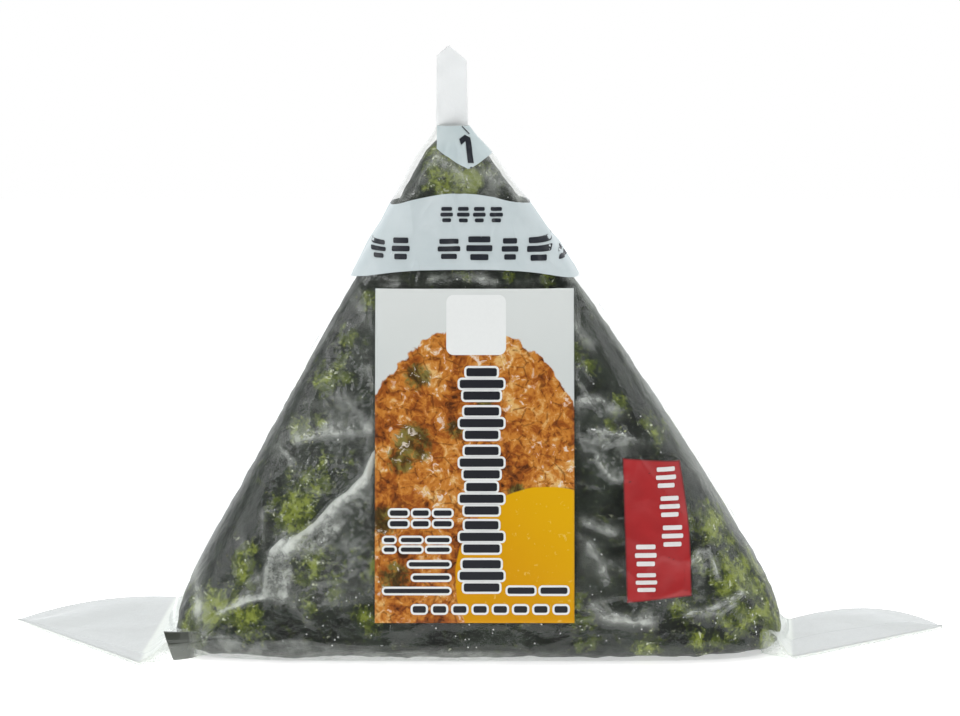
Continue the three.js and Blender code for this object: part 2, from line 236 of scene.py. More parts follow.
# Places on the front where the film is finely crinkled: x, z and radius. How far it moves there.
CRINKLE = 0.34
CRINKLED_PLACES = [
    (-17.4, 21.5, 2.6), (-20.5, 28.8, 3.4), (-25.5, 27.5, 4.0), (-17.5, 38.0, 3.0),
    (-19.0, 46.0, 3.0), (-21.0, 42.0, 3.0), (18.8, 29.0, 2.6), (17.5, 33.5, 2.6),
    (-33.8, 11.5, 1.6), (-23.5, 11.0, 3.0), (-19.0, 15.0, 3.0),
]
LABEL = {"left": -15.5, "right": 14.2, "bottom": 6.4, "top": 55.1}
# Outlines on the front within which the film lies flat on the seaweed: corners, softness of the
# edge, and how much of its whiteness it keeps.
FLAT_SHAPES = [
    ([(-38.3, 7.2), (-35.3, 8.6), (-32.2, 9.5), (-30.0, 9.5), (-28.0, 8.8), (-26.1, 8.0),
      (-25.4, 7.2), (-22.4, 7.3), (-19.1, 7.6), (-15.6, 7.8), (-13.2, 6.5), (-13.2, 3.4),
      (-25.6, 3.6), (-33.5, 3.3), (-40.3, 4.4), (-39.8, 6.1)], 0.25, 0.1),
    ([(-36.1, 9.8), (-35.3, 13.9), (-36.1, 18.1), (-34.4, 19.4), (-32.4, 18.1), (-32.4, 13.9),
      (-33.9, 12.8)], 0.5, 0.15),
    ([(-35.3, 21.1), (-31.8, 22.9), (-28.9, 21.3), (-26.5, 20.1), (-28.3, 19.2), (-30.9, 19.6),
      (-32.4, 18.1), (-35.3, 19.0)], 0.4, 0.15),
    ([(-30.1, 31.6), (-25.7, 32.1), (-20.2, 31.0), (-17.4, 28.9), (-20.5, 26.4), (-22.6, 25.0),
      (-26.5, 26.3), (-29.0, 28.8)], 0.4, 0.6),
    ([(-44.8, 8.0), (-43.8, 14.0), (-38.5, 22.0), (-30.5, 37.0), (-29.0, 33.0), (-31.5, 27.0),
      (-33.0, 22.0), (-36.0, 20.0), (-36.8, 12.0), (-39.5, 9.0)], 0.7, 0.25),
    ([(15.0, 26.2), (21.5, 25.8), (21.9, 21.5), (17.8, 21.9), (14.6, 21.5)], 0.5, 0.15),
    ([(16.5, 17.3), (18.5, 17.7), (20.3, 17.6), (21.8, 18.0), (21.6, 16.4), (18.9, 15.9),
      (17.3, 16.2)], 0.2, 0.15),
    ([(18.9, 9.3), (21.3, 10.2), (23.6, 8.7), (22.0, 7.6), (19.8, 8.2)], 0.2, 0.15),
    ([(14.6, 6.8), (19.4, 6.4), (23.6, 5.8), (30.6, 6.4), (34.3, 4.9), (38.7, 4.9), (43.5, 5.5),
      (44.5, 3.0), (37.6, 2.5), (14.6, 2.5)], 0.4, 0.15),
    ([(30.5, 6.5), (38.0, 10.5), (36.0, 13.0), (34.5, 17.5), (31.8, 17.0), (31.5, 21.5),
      (36.5, 21.5), (41.5, 15.0), (45.5, 8.0), (45.5, 3.0), (38.0, 5.0)], 0.6, 0.25),
    ([(15.0, 52.0), (18.0, 52.5), (23.0, 44.0), (27.0, 37.5), (31.5, 30.5), (37.5, 20.5),
      (31.0, 20.5), (30.0, 30.5), (21.5, 30.5), (21.8, 34.5), (18.5, 37.0), (16.0, 43.0)],
     0.7, 0.6),
]
STRIP_HALF_WIDTH = 2.6
STRIP_RELIEF = 0.35
FLAP_RELIEF = 0.45
LOOSE_FILM = 0.55

large_noise = Noise(11)
fold_noise = Noise(12)
fine_noise = Noise(13)
nori_noise = Noise(14)
patch_noise = Noise(15)


def random_creases(count):
    """Short fine creases, most of them running from a lower corner or from the top."""
    made = []
    for _ in range(count):
        z = rng.uniform(4.0, 72.0)
        centre, half_width, _, _ = section(z)
        x = centre + half_width * rng.uniform(-0.92, 0.92)
        corner = rng.choice([-1.0, 0.0, 1.0])
        root = (BASE_LIMIT * corner, 0.0 if corner else PACK_HEIGHT)
        heading = math.atan2(z - root[1], x - root[0]) + rng.normal(0.0, 0.5)
        length = rng.uniform(2.0, 8.0)
        end = (x + length * math.cos(heading), z + length * math.sin(heading))
        sharp, soft = rng.uniform(0.25, 0.4), rng.uniform(0.4, 1.3)
        flanks = (sharp, soft) if rng.random() < 0.5 else (soft, sharp)
        made.append(([(x, z), end], rng.uniform(0.05, 0.18), *flanks, rng.uniform(0.01, 0.08)))
    return made


front_fine = random_creases(60)
back_fine = random_creases(60)


def to_segment(x, z, start, end):
    """Distance from places to a straight line between two points, and the side they are on."""
    (ax, az), (bx, bz) = start, end
    length = math.hypot(bx - ax, bz - az)
    ux, uz = (bx - ax) / length, (bz - az) / length
    t = np.clip((x - ax) * ux + (z - az) * uz, 0.0, length)
    away = np.hypot(x - ax - t * ux, z - az - t * uz)
    return away, ux * (z - az) - uz * (x - ax) > 0.0


def crease_height(x, z, creases):
    """Height of the creases at x and z, and how much whiter they make the film, partly painted
    highlight.
    """
    height, veil = np.zeros_like(x), np.zeros_like(x)
    for line, crest, left_width, right_width, whiter in creases:
        away = np.full_like(x, 1e9)
        width = np.ones_like(x)
        for start, end in zip(line[:-1], line[1:]):
            here, on_left = to_segment(x, z, start, end)
            nearer = here < away
            width = np.where(nearer, np.where(on_left, left_width, right_width), width)
            away = np.minimum(away, here)
        shape = np.exp(-((away / width) ** 1.3))
        height += crest * shape
        veil = np.maximum(veil, whiter * shape)
    return height, veil


def within(x, z, outline, softness):
    """1 inside a closed outline and 0 outside it, over an edge of this softness."""
    inside = np.zeros(len(x), dtype=bool)
    away = np.full_like(x, 1e9)
    for start, end in zip(outline, outline[1:] + outline[:1]):
        away = np.minimum(away, to_segment(x, z, start, end)[0])
        spans = (start[1] > z) != (end[1] > z)
        slope = (end[0] - start[0]) / ((end[1] - start[1]) or 1e-9)
        inside ^= spans & (x < start[0] + slope * (z - start[1]))
    return smooth(-softness, softness, np.where(inside, away, -away))


def flatness(x, z, front):
    """Where the film lies flat on the seaweed of the front, 1, and the whiteness it keeps."""
    flat, kept = np.zeros_like(x), np.ones_like(x)
    for outline, softness, whiteness in FLAT_SHAPES:
        here = within(x, z, outline, softness) * front
        flat = np.maximum(flat, here)
        kept = np.minimum(kept, mix(1.0, whiteness, here))
    return flat, kept


def all_creases(x, z, front):
    """Height and whiteness (partly painted highlight) of the large and fine creases, no fine ones
    on flat film.
    """
    fine_share = 1.0 - 0.9 * flatness(x, z, front)[0]
    both = []
    for large, fine in ((FRONT_CREASES, front_fine), (BACK_CREASES, back_fine)):
        large_height, large_veil = crease_height(x, z, large)
        fine_height, fine_veil = crease_height(x, z, fine)
        height = large_height + fine_height * fine_share
        both.append((height, np.maximum(large_veil, fine_veil * fine_share)))
    return np.where(front, both[0][0], both[1][0]), np.where(front, both[0][1], both[1][1])


def pleats(x, z):
    """Height of the pleats that run out from the places where the film is gathered."""
    height = np.zeros_like(x)
    for gather_x, gather_z, count, depth in GATHERS:
        radius = np.hypot(x - gather_x, z - gather_z)
        turn = np.arctan2(z - gather_z, x - gather_x)
        fade = smooth(1.0, 5.0, radius) * np.exp(-((radius / PLEAT_REACH) ** 2))
        height += depth * fade * np.sin(2.0 * count * turn)
    return height


TOP_CENTRE = float(section(np.array(PACK_HEIGHT))[0])
# Where the film is gathered: x, z, the number of pleats and their depth.
GATHERS = [
    (-BASE_LIMIT, 0.0, 9, 0.28), (BASE_LIMIT, 0.0, 9, 0.28), (TOP_CENTRE, PACK_HEIGHT, 7, 0.25),
]
PLEAT_REACH = 12.0


def strip_x(z):
    return mix(0.0, TOP_CENTRE, z / PACK_HEIGHT)


def under_label(x, z):
    outside = np.maximum.reduce(
        [LABEL["left"] - x, x - LABEL["right"], LABEL["bottom"] - z, z - LABEL["top"]]
    )
    return 1.0 - smooth(0.1, 1.2, outside)


def looseness(points):
    """From 0 where the film clings to the seaweed to 1 where it stands clear of it."""
    broad = large_noise.at(points, 17.0) + 0.45 * large_noise.at(points + 40.0, 7.0)
    return smooth(-0.25, 0.55, broad)


def relief(points, normals):
    """How far the film stands out from the smooth form, for points on it and their normals."""
    x, y, z = points.T
    centre, half_width, _, _ = section(z)
    sideways = np.abs(normals[:, 0])
    on_face = 1.0 - smooth(0.8, 0.98, np.abs((x - centre) / half_width))
    front = y < 0.0
    creases = (all_creases(x, z, front)[0] + pleats(x, z)) * on_face
    folds = fold_noise.ridges(points, 11.0) ** 5 * 0.25
    folds += fold_noise.ridges(points + 70.0, 5.5) ** 5 * 0.10
    loose = LOOSE_FILM * (looseness(points) - 0.5)
    crumple = folds + loose + 0.05 * fine_noise.at(points, 2.2)
    crumple *= 1.0 - 0.45 * smooth(0.55, 0.95, sideways)
    crumple *= 1.0 - 0.5 * smooth(64.0, 72.0, z)
    crumple *= 1.0 - 0.75 * flatness(x, z, front)[0]
    height = creases + crumple
    for px, pz, radius in CRINKLED_PLACES:
        near = np.exp(-(((x - px) ** 2 + (z - pz) ** 2) / radius**2))
        height += CRINKLE * near * front * fine_noise.at(points, 0.9)
    height *= 1.0 - under_label(x, z) * front
    beside = np.abs(x - strip_x(z)) - STRIP_HALF_WIDTH
    on_strip = on_face * (1.0 - smooth(-0.3, 0.3, beside)) * ~front
    height = mix(height, STRIP_RELIEF + 0.3 * folds, on_strip)
    front_flap = 1.0 - smooth(-0.4, 0.4, y - 0.12 * (z - 30.0))
    height += smooth(0.1, 1.0, sideways) * FLAP_RELIEF * front_flap
    clear_of_top = 1.0 - smooth(PACK_HEIGHT - 5.0, PACK_HEIGHT - 1.0, z)
    return height * smooth(0.6, 4.0, z) * clear_of_top


def flattened(a, b):
    """Two arrays as rows of one length, and the shape that they have together."""
    a, b = np.broadcast_arrays(a, b)
    return a.ravel().astype(float), b.ravel().astype(float), a.shape


def film_points(angle, z, lift=0.0):
    """Points on the wrinkled film, lift further out."""
    angle, z, shape = flattened(angle, z)
    points = smooth_point(angle, z)
    normals = smooth_normal(angle, z)
    moved = points + normals * (relief(points, normals) + lift)[:, None]
    return moved.reshape(*shape, 3)


# Meshes.

# The share to which a ring of points shrinks where it closes a face in its middle.
TINY_RING = 0.002


def even_angles(count, reference=24.0, front_density=1.7):
    """Angles that space points evenly round a section, closer together on the front."""
    turn = np.linspace(-math.pi, math.pi, 6001)
    ring = smooth_point(turn, np.full_like(turn, reference))
    steps = np.linalg.norm(np.diff(ring, axis=0), axis=1)
    steps *= np.where(turn[:-1] < 0.0, front_density, 1.0)
    length = np.concatenate([[0.0], np.cumsum(steps)])
    return np.interp(np.arange(count) * length[-1] / count, length, turn)


def placed(name, data):
    """An object of the scene that holds this data."""
    made = bpy.data.objects.new(name, data)
    bpy.context.scene.collection.objects.link(made)
    return made


def mesh_object(name, points, faces, material, smooth_shading=True, amount=None):
    """A mesh object from points in millimetres and faces, all of the same number of corners.

    The amount is a number for each point, which the material reads.
    """
    points = np.asarray(points, dtype=np.float64).reshape(-1, 3) * MM
    faces = np.asarray(faces, dtype=np.int32)
    mesh = bpy.data.meshes.new(name)
    mesh.vertices.add(len(points))
    mesh.vertices.foreach_set("co", points.ravel())
    mesh.loops.add(faces.size)
    mesh.loops.foreach_set("vertex_index", faces.ravel())
    mesh.polygons.add(len(faces))
    loop_start = np.arange(0, faces.size, faces.shape[1], dtype=np.int32)
    mesh.polygons.foreach_set("loop_start", loop_start)
    mesh.update(calc_edges=True)
    mesh.validate()
    if smooth_shading:
        mesh.polygons.foreach_set("use_smooth", np.ones(len(mesh.polygons), dtype=bool))
    if amount is not None:
        layer = mesh.attributes.new("amount", "FLOAT", "POINT")
        layer.data.foreach_set("value", np.asarray(amount, dtype=np.float32).ravel())
    mesh.materials.append(material)
    return placed(name, mesh)


def grid_faces(rows, columns, closed=False):
    """Quads of a grid of points. A closed grid also joins its last column to its first."""
    j, i = np.indices((rows - 1, columns if closed else columns - 1))
    a, b = j * columns + i, j * columns + (i + 1) % columns
    return np.stack([a, b, b + columns, a + columns], axis=-1).reshape(-1, 4)


def grid_wall(rows, columns):
    """Faces that join the edges of two like grids, one stored after the other."""
    rim = np.concatenate(
        [
            np.arange(columns),
            np.arange(1, rows) * columns + columns - 1,
            (rows - 1) * columns + np.arange(columns - 2, -1, -1),
            np.arange(rows - 2, 0, -1) * columns,
        ]
    )
    rim_next = np.roll(rim, -1)
    count = rows * columns
    return np.stack([rim, rim + count, rim_next + count, rim_next], axis=-1)


def closed_sheet(front, back):
    """A closed sheet from two like grids of points, one for each of its sides."""
    rows, columns = front.shape[:2]
    faces = grid_faces(rows, columns)
    faces = np.concatenate([faces, faces[:, ::-1] + rows * columns, grid_wall(rows, columns)])
    return np.concatenate([front.reshape(-1, 3), back.reshape(-1, 3)]), faces


def thin_sheet(middle, thickness):
    """A closed thin sheet round a grid of points, thick along y."""
    half = np.array([0.0, thickness / 2.0, 0.0])
    return closed_sheet(middle - half, middle + half)


def joined(parts):
    """Points and faces of several (points, faces) pairs as one pair."""
    points, faces, start = [], [], 0
    for some_points, some_faces in parts:
        some_points = np.asarray(some_points).reshape(-1, 3)
        points.append(some_points)
        faces.append(some_faces + start)
        start += len(some_points)
    return np.concatenate(points), np.concatenate(faces)


# Materials.


class Value:
    """A number in a tree of nodes, which takes plain arithmetic."""

    def __init__(self, shader, socket):
        self.shader, self.socket = shader, socket

    def __add__(self, other):
        return self.shader.math("ADD", self, other)

    def __sub__(self, other):
        return self.shader.math("SUBTRACT", self, other)

    def __rsub__(self, other):
        return self.shader.math("SUBTRACT", other, self)

    def __mul__(self, other):
        return self.shader.math("MULTIPLY", self, other)

    def __truediv__(self, other):
        return self.shader.math("DIVIDE", self, other)

    def __pow__(self, other):
        return self.shader.math("POWER", self, other)

    def __abs__(self):
        return self.shader.math("ABSOLUTE", self)

    def rise(self, low, high):
        """0 below low, 1 above high, smooth between. The other way round if low is over high."""
        inputs = {"Value": self, "From Min": low, "From Max": high}
        made = self.shader.node("ShaderNodeMapRange", inputs, interpolation_type="SMOOTHSTEP")
        return Value(self.shader, made.outputs["Result"])


class Shader:
    """The nodes of a material or a world, with short calls for the kinds that are used."""

    def __init__(self, owner, output="ShaderNodeOutputMaterial"):
        owner.use_nodes = True
        self.owner, self.output, self.tree = owner, output, owner.node_tree
        self.tree.nodes.clear()

    def put(self, socket, value):
        if isinstance(value, Value):
            value = value.socket
        if isinstance(value, bpy.types.NodeSocket):
            self.tree.links.new(value, socket)
        elif socket.type == "RGBA":
            socket.default_value = (*value, 1.0)
        else:
            socket.default_value = value

    def node(self, kind, inputs=None, **settings):
        """A node with these settings and inputs, each input by its name or number."""
        made = self.tree.nodes.new(kind)
        for key, value in settings.items():
            setattr(made, key, value)
        for key, value in (inputs or {}).items():
            self.put(made.inputs[key], value)
        return made

    def math(self, operation, *values):
        made = self.node("ShaderNodeMath", dict(enumerate(values)), operation=operation)
        return Value(self, made.outputs[0])

    def millimetres(self):
        """The place on the object, in millimetres."""
        place = self.node("ShaderNodeTexCoord").outputs["Object"]
        inputs = {0: place, "Scale": 1.0 / MM}
        return self.node("ShaderNodeVectorMath", inputs, operation="SCALE").outputs[0]

    def split(self, vector):
        made = self.node("ShaderNodeSeparateXYZ", {0: vector})
        return [Value(self, output) for output in made.outputs]

    def amount(self):
        """The number that each point of the mesh carries."""
        made = self.node("ShaderNodeAttribute", attribute_name="amount")
        return Value(self, made.outputs["Fac"])

    def noise(self, vector, size, detail=3.0, roughness=0.5, warp=0.0):
        inputs = {"Vector": vector, "Scale": 1.0 / size, "Detail": detail}
        inputs |= {"Roughness": roughness, "Distortion": warp}
        return Value(self, self.node("ShaderNodeTexNoise", inputs).outputs["Fac"])

    def blend(self, factor, a, b):
        inputs = {"Factor": factor, "A": a, "B": b}
        return self.node("ShaderNodeMix", inputs, data_type="RGBA").outputs["Result"]

    def bump(self, height, distance):
        inputs = {"Height": height, "Distance": distance * MM, "Strength": 1.0}
        return self.node("ShaderNodeBump", inputs).outputs["Normal"]

    def principled(self, **values):
        inputs = {key.replace("_", " "): value for key, value in values.items()}
        return self.node("ShaderNodeBsdfPrincipled", inputs).outputs["BSDF"]

    def mixed(self, factor, first, second):
        return self.node("ShaderNodeMixShader", {0: factor, 1: first, 2: second}).outputs[0]

    def finish(self, surface):
        self.node(self.output, {"Surface": surface})
        return self.owner


def new_material(name):
    return Shader(bpy.data.materials.new(name))


def film_material(name, clear, veil_colour, dense_colour, gloss):
    """Clear film: mostly see-through, with gloss, and a veil for loose and folded film and for
    painted light.
    """
    s = new_material(name)
    place = s.millimetres()
    haze = s.amount()
    fine = s.noise(place, 1.7, detail=4.0, roughness=0.55)
    grit = s.noise(place, 0.85, detail=3.0, roughness=0.6) * haze.rise(0.08, 0.01)
    sideways = s.split(s.node("ShaderNodeNewGeometry").outputs["Normal"])[0]
    calm = abs(sideways).rise(0.85, 0.45)
    normal = s.bump((fine + grit * 0.35) * (calm * 0.6 + 0.4), 0.11)
    see_through = s.node("ShaderNodeBsdfTransparent", {"Color": clear}).outputs[0]
    whiteness = s.blend(haze.rise(0.78, 0.86), veil_colour, dense_colour)
    veil = s.principled(Base_Color=whiteness, Roughness=0.5, Normal=normal)
    spots = s.noise(place, 1.3, detail=6.0, roughness=0.68, warp=0.3).rise(0.38, 0.62)
    clouds = s.noise(place, 4.5, detail=3.0).rise(0.35, 0.65)
    uneven = haze.rise(0.80, 0.30) * calm * 0.80
    veiled = haze * ((spots + clouds - 1.0) * uneven + 1.0)
    body = s.mixed(s.math("MINIMUM", veiled, 0.97), see_through, veil)
    shine = s.principled(
        Base_Color=(0.93, 0.95, 0.95), Metallic=1.0, Roughness=gloss, Normal=normal
    )
    weight = s.node("ShaderNodeLayerWeight", {"Blend": 0.5, "Normal": normal})
    grazing = Value(s, weight.outputs["Facing"]) ** 5.0
    return s.finish(s.mixed(grazing * 0.58 + (calm * 0.027 + 0.010), body, shine))


def seaweed_material():
    """Dark green sheet with olive lacy patches, a fibrous surface, an oily sheen and painted
    glints.
    """
    s = new_material("seaweed")
    place = s.millimetres()
    green = s.amount()
    lace = s.noise(place, 1.7, detail=8.0, roughness=0.68, warp=0.5)
    fibre = s.noise(place, 0.6, detail=6.0, roughness=0.72)
    glow = s.noise(place, 1.1, detail=5.0, roughness=0.7, warp=0.3)
    mottle = s.noise(place, 5.0, detail=6.0, roughness=0.68)
    leaf = s.noise(place, 3.2, detail=3.0, warp=0.6)
    painted_glint_noise = s.noise(place, 0.9, detail=4.0, roughness=0.65, warp=0.4)
    dark = s.blend(mottle.rise(0.35, 0.65), (0.003, 0.005, 0.002), (0.019, 0.027, 0.017))
    tone = glow * 0.6 + leaf * 0.4 + (green - 0.75) * 0.12
    olive = s.blend(tone.rise(0.38, 0.50), (0.009, 0.014, 0.003), (0.068, 0.092, 0.010))
    olive = s.blend(tone.rise(0.51, 0.62), olive, (0.25, 0.30, 0.042))
    # Painted glints: the palest fibre and the near-white spots are painted highlights of the oily
    # sheen.
    olive = s.blend(fibre.rise(0.60, 0.70), olive, (0.44, 0.49, 0.14))
    olive = s.blend(painted_glint_noise.rise(0.61, 0.68), olive, (0.66, 0.69, 0.48))
    edge = s.math("MINIMUM", green, 0.80) + (lace * 0.5 + fibre * 0.5 - 0.51) * 4.4
    share = edge.rise(0.22, 0.70) * green.rise(0.04, 0.30)
    faint = lace.rise(0.50, 0.66) * 0.50
    return s.finish(
        s.principled(
            Base_Color=s.blend(s.math("MAXIMUM", share, faint), dark, olive),
            Roughness=fibre * 0.45 + 0.12,
            Specular_IOR_Level=0.22,
            Normal=s.bump(lace * 0.6 + fibre * 0.4, 0.8),
        )
    )


def print_material(name, colour, worn):
    """Opaque print on the film, a little uneven, with the film's wrinkles in its sheen."""
    s = new_material(name)
    place = s.millimetres()
    cloud = s.noise(place, 4.0, detail=4.0).rise(0.3, 0.7)
    normal = s.bump(s.noise(place, 2.0, detail=3.0), 0.08)
    return s.finish(
        s.principled(Base_Color=s.blend(cloud, worn, colour), Roughness=0.42, Normal=normal)
    )


def ink_material(name, colour):
    s = new_material(name)
    speck = s.noise(s.millimetres(), 0.5, detail=2.0)
    lighter = tuple(c * 1.04 + 0.004 for c in colour)
    return s.finish(s.principled(Base_Color=s.blend(speck, colour, lighter), Roughness=0.38))


def salt_material():
    s = new_material("salt")
    speck = s.noise(s.millimetres(), 0.2, detail=2.0)
    colour = s.blend(speck, (0.75, 0.76, 0.74), (0.95, 0.95, 0.93))
    return s.finish(s.principled(Base_Color=colour, Roughness=0.3))


# Where things are on the label, as shares of its width from the left and its height from the top.
LABEL_WIDTH = LABEL["right"] - LABEL["left"]
LABEL_HEIGHT = LABEL["top"] - LABEL["bottom"]
MOUND_PEAK = 0.118
MOUND_FALL = 0.215
YOLK_CENTRE = (0.864, 0.871)
YOLK_RADIUS = 13.75
# Bits of green onion in the heap: share of the width and of the height, and radius.
ONION = [
    (0.19, 0.46, 0.100), (0.13, 0.51, 0.070), (0.21, 0.26, 0.070), (0.56, 0.33, 0.05),
    (0.10, 0.86, 0.08), (0.40, 0.42, 0.05), (0.71, 0.61, 0.05), (0.05, 0.69, 0.07),
]


def minced_meat(s, place, across, down):
    """Glossy orange-brown strands and crumbs with dark gaps, green bits and pale glints."""
    strand = s.noise(place, 3.4, detail=7.0, roughness=0.60, warp=1.9)
    crumb = s.noise(place, 1.3, detail=6.0, roughness=0.6, warp=1.0)
    broad = s.noise(place, 6.0, detail=3.0, warp=0.5)
    tone = strand * 0.55 + crumb * 0.45 + (broad - 0.5) * 0.50
    meat = s.blend(tone.rise(0.32, 0.43), (0.050, 0.015, 0.003), (0.29, 0.078, 0.011))
    meat = s.blend(tone.rise(0.43, 0.53), meat, (0.51, 0.190, 0.028))
    meat = s.blend(tone.rise(0.53, 0.65), meat, (0.68, 0.42, 0.15))
    inputs = {"Vector": place, "Scale": 1.0 / 2.2}
    cells = s.node("ShaderNodeTexVoronoi", inputs, feature="DISTANCE_TO_EDGE")
    crevice = Value(s, cells.outputs["Distance"]).rise(0.09, 0.0) * crumb.rise(0.56, 0.46)
    meat = s.blend(crevice * 0.65, meat, (0.08, 0.022, 0.006))
    green = 0.0
    for fx, fy, radius in ONION:
        dx = (across - fx) / radius
        dy = (down - fy) / (radius * LABEL_WIDTH / LABEL_HEIGHT)
        green = s.math("MAXIMUM", green, (dx * dx + dy * dy).rise(1.9, 0.0))
    ragged = green + (crumb - 0.5) * 3.0
    leaf = s.blend(strand.rise(0.40, 0.60), (0.018, 0.022, 0.006), (0.13, 0.13, 0.030))
    on_leaf = ragged.rise(0.25, 0.95) * green.rise(0.02, 0.5)
    meat = s.blend(on_leaf * 0.88, meat, leaf)
    glint = s.noise(place, 1.3, detail=6.0, roughness=0.68, warp=0.8)
    wet = glint.rise(0.58, 0.63) * broad.rise(0.42, 0.56)
    return s.blend(wet * 0.80, meat, (0.74, 0.66, 0.58))


def label_material():
    """The label's picture: a heap of minced meat under a pale sky, with a round yolk before it."""
    s = new_material("label_picture")
    place = s.millimetres()
    x, _, z = s.split(place)
    across = (x - LABEL["left"]) / LABEL_WIDTH
    down = (LABEL["top"] - z) / LABEL_HEIGHT
    pale = s.blend(down.rise(0.0, 0.3), (0.66, 0.69, 0.675), (0.60, 0.635, 0.62))
    dome = abs(across * 2.0 - 0.98) ** 2.3 * MOUND_FALL + MOUND_PEAK
    ragged = (s.noise(place, 2.2, detail=5.0) - 0.5) * 0.075
    in_mound = (down - (dome + ragged)).rise(-0.004, 0.004)
    meat = minced_meat(s, place, across, down)

    yolk_x = x - (LABEL["left"] + YOLK_CENTRE[0] * LABEL_WIDTH)
    yolk_z = z - (LABEL["top"] - YOLK_CENTRE[1] * LABEL_HEIGHT)
    distance = s.math("SQRT", yolk_x * yolk_x + yolk_z * yolk_z)
    wavy = (s.noise(place, 5.0, detail=1.0) - 0.5) * 0.9
    in_yolk = (distance - wavy).rise(YOLK_RADIUS + 0.12, YOLK_RADIUS - 0.12)
    low_left = (down - across * 0.6).rise(0.05, 0.55)
    yolk = s.blend(low_left, (0.68, 0.37, 0.0), (0.62, 0.29, 0.0))
    sheen = s.noise(place, 1.0, detail=5.0, roughness=0.68, warp=0.5).rise(0.62, 0.68)
    yolk = s.blend(sheen * 0.45, yolk, (0.78, 0.58, 0.16))

    colour = s.blend(in_yolk, s.blend(in_mound, pale, meat), yolk)
    normal = s.bump(s.noise(place, 6.0, detail=2.0), 0.1)
    return s.finish(
        s.principled(Base_Color=colour, Roughness=0.4, Specular_IOR_Level=0.2, Normal=normal)
    )


# The pieces.


def body_grid(around, bottom, edge, edge_rows, top, rows):
    """Angles, heights and faces of a form's side, in closer rows over its lower edge."""
    low = bottom + edge * (1.0 - np.cos(np.linspace(0.0, math.pi / 2.0, edge_rows)[:-1]))
    heights = np.concatenate([low, np.linspace(bottom + edge, top, rows)])
    angle, z = np.meshgrid(even_angles(around), heights)
    return angle.ravel(), z.ravel(), grid_faces(len(heights), around, closed=True)


def capped_below(points, faces, values, count):
    """The same surface closed below by rings that shrink to the middle of its lowest ring."""
    ring = points[:count]
    middle = ring.mean(axis=0)
    shares = np.linspace(1.0, 0.0, CAP_RINGS + 1)[1:]
    caps = np.concatenate([middle + (ring - middle) * max(share, TINY_RING) for share in shares])
    start = len(points)
    inner = grid_faces(CAP_RINGS, count, closed=True)[:, ::-1] + start
    i = np.arange(count)
    j = (i + 1) % count
    join = np.stack([i, start + i, start + j, j], axis=-1)
    points = np.concatenate([points, caps])
    values = np.concatenate([values, np.full(len(caps), values[:count].mean())])
    return points, np.concatenate([faces, join, inner]), values


# Points round the film, rows of them up its side, and rings of them that close its base.
AROUND = 760
UP = 240
CAP_RINGS = 8

# Where the film turns under along the foot of the front: x and height.
TURNING_LINE = [
    (-44.1, 4.3), (-40.8, 4.8), (-35.6, 3.9), (-30.4, 3.4), (-26.6, 3.9), (-22.2, 2.8),
    (-16.2, 2.2), (0.0, 2.0), (15.0, 2.1), (25.0, 2.0), (35.0, 2.1), (44.0, 2.6),
]
# Height and width of the rim at the right, where the film leaves the seaweed's rounded side.
RIGHT_RIM = [
    (0.0, 0.5), (8.0, 0.7), (12.0, 1.2), (18.0, 2.4), (26.0, 3.4), (36.0, 2.4), (45.0, 2.0),
    (60.0, 2.2), (79.0, 1.4),
]
LEFT_RIM_WIDTH = 1.3
# Places on the front where the film is whiter, partly its haze and partly painted highlight and
# sheen: x, z, half-width, half-height and how much.
PALE_PLACES = [
    (-38.0, 17.0, 4.0, 7.0, 0.02), (-19.0, 31.5, 5.0, 4.5, 0.08),
    (-20.0, 37.5, 5.0, 3.0, 0.06), (-17.5, 46.0, 3.5, 4.0, 0.04),
    (39.6, 7.2, 1.0, 1.0, 0.12), (17.0, 50.0, 4.0, 6.0, 0.03),
    (1.8, 72.0, 2.6, 4.0, 0.07), (-25.0, 27.8, 4.0, 4.5, 0.05),
]
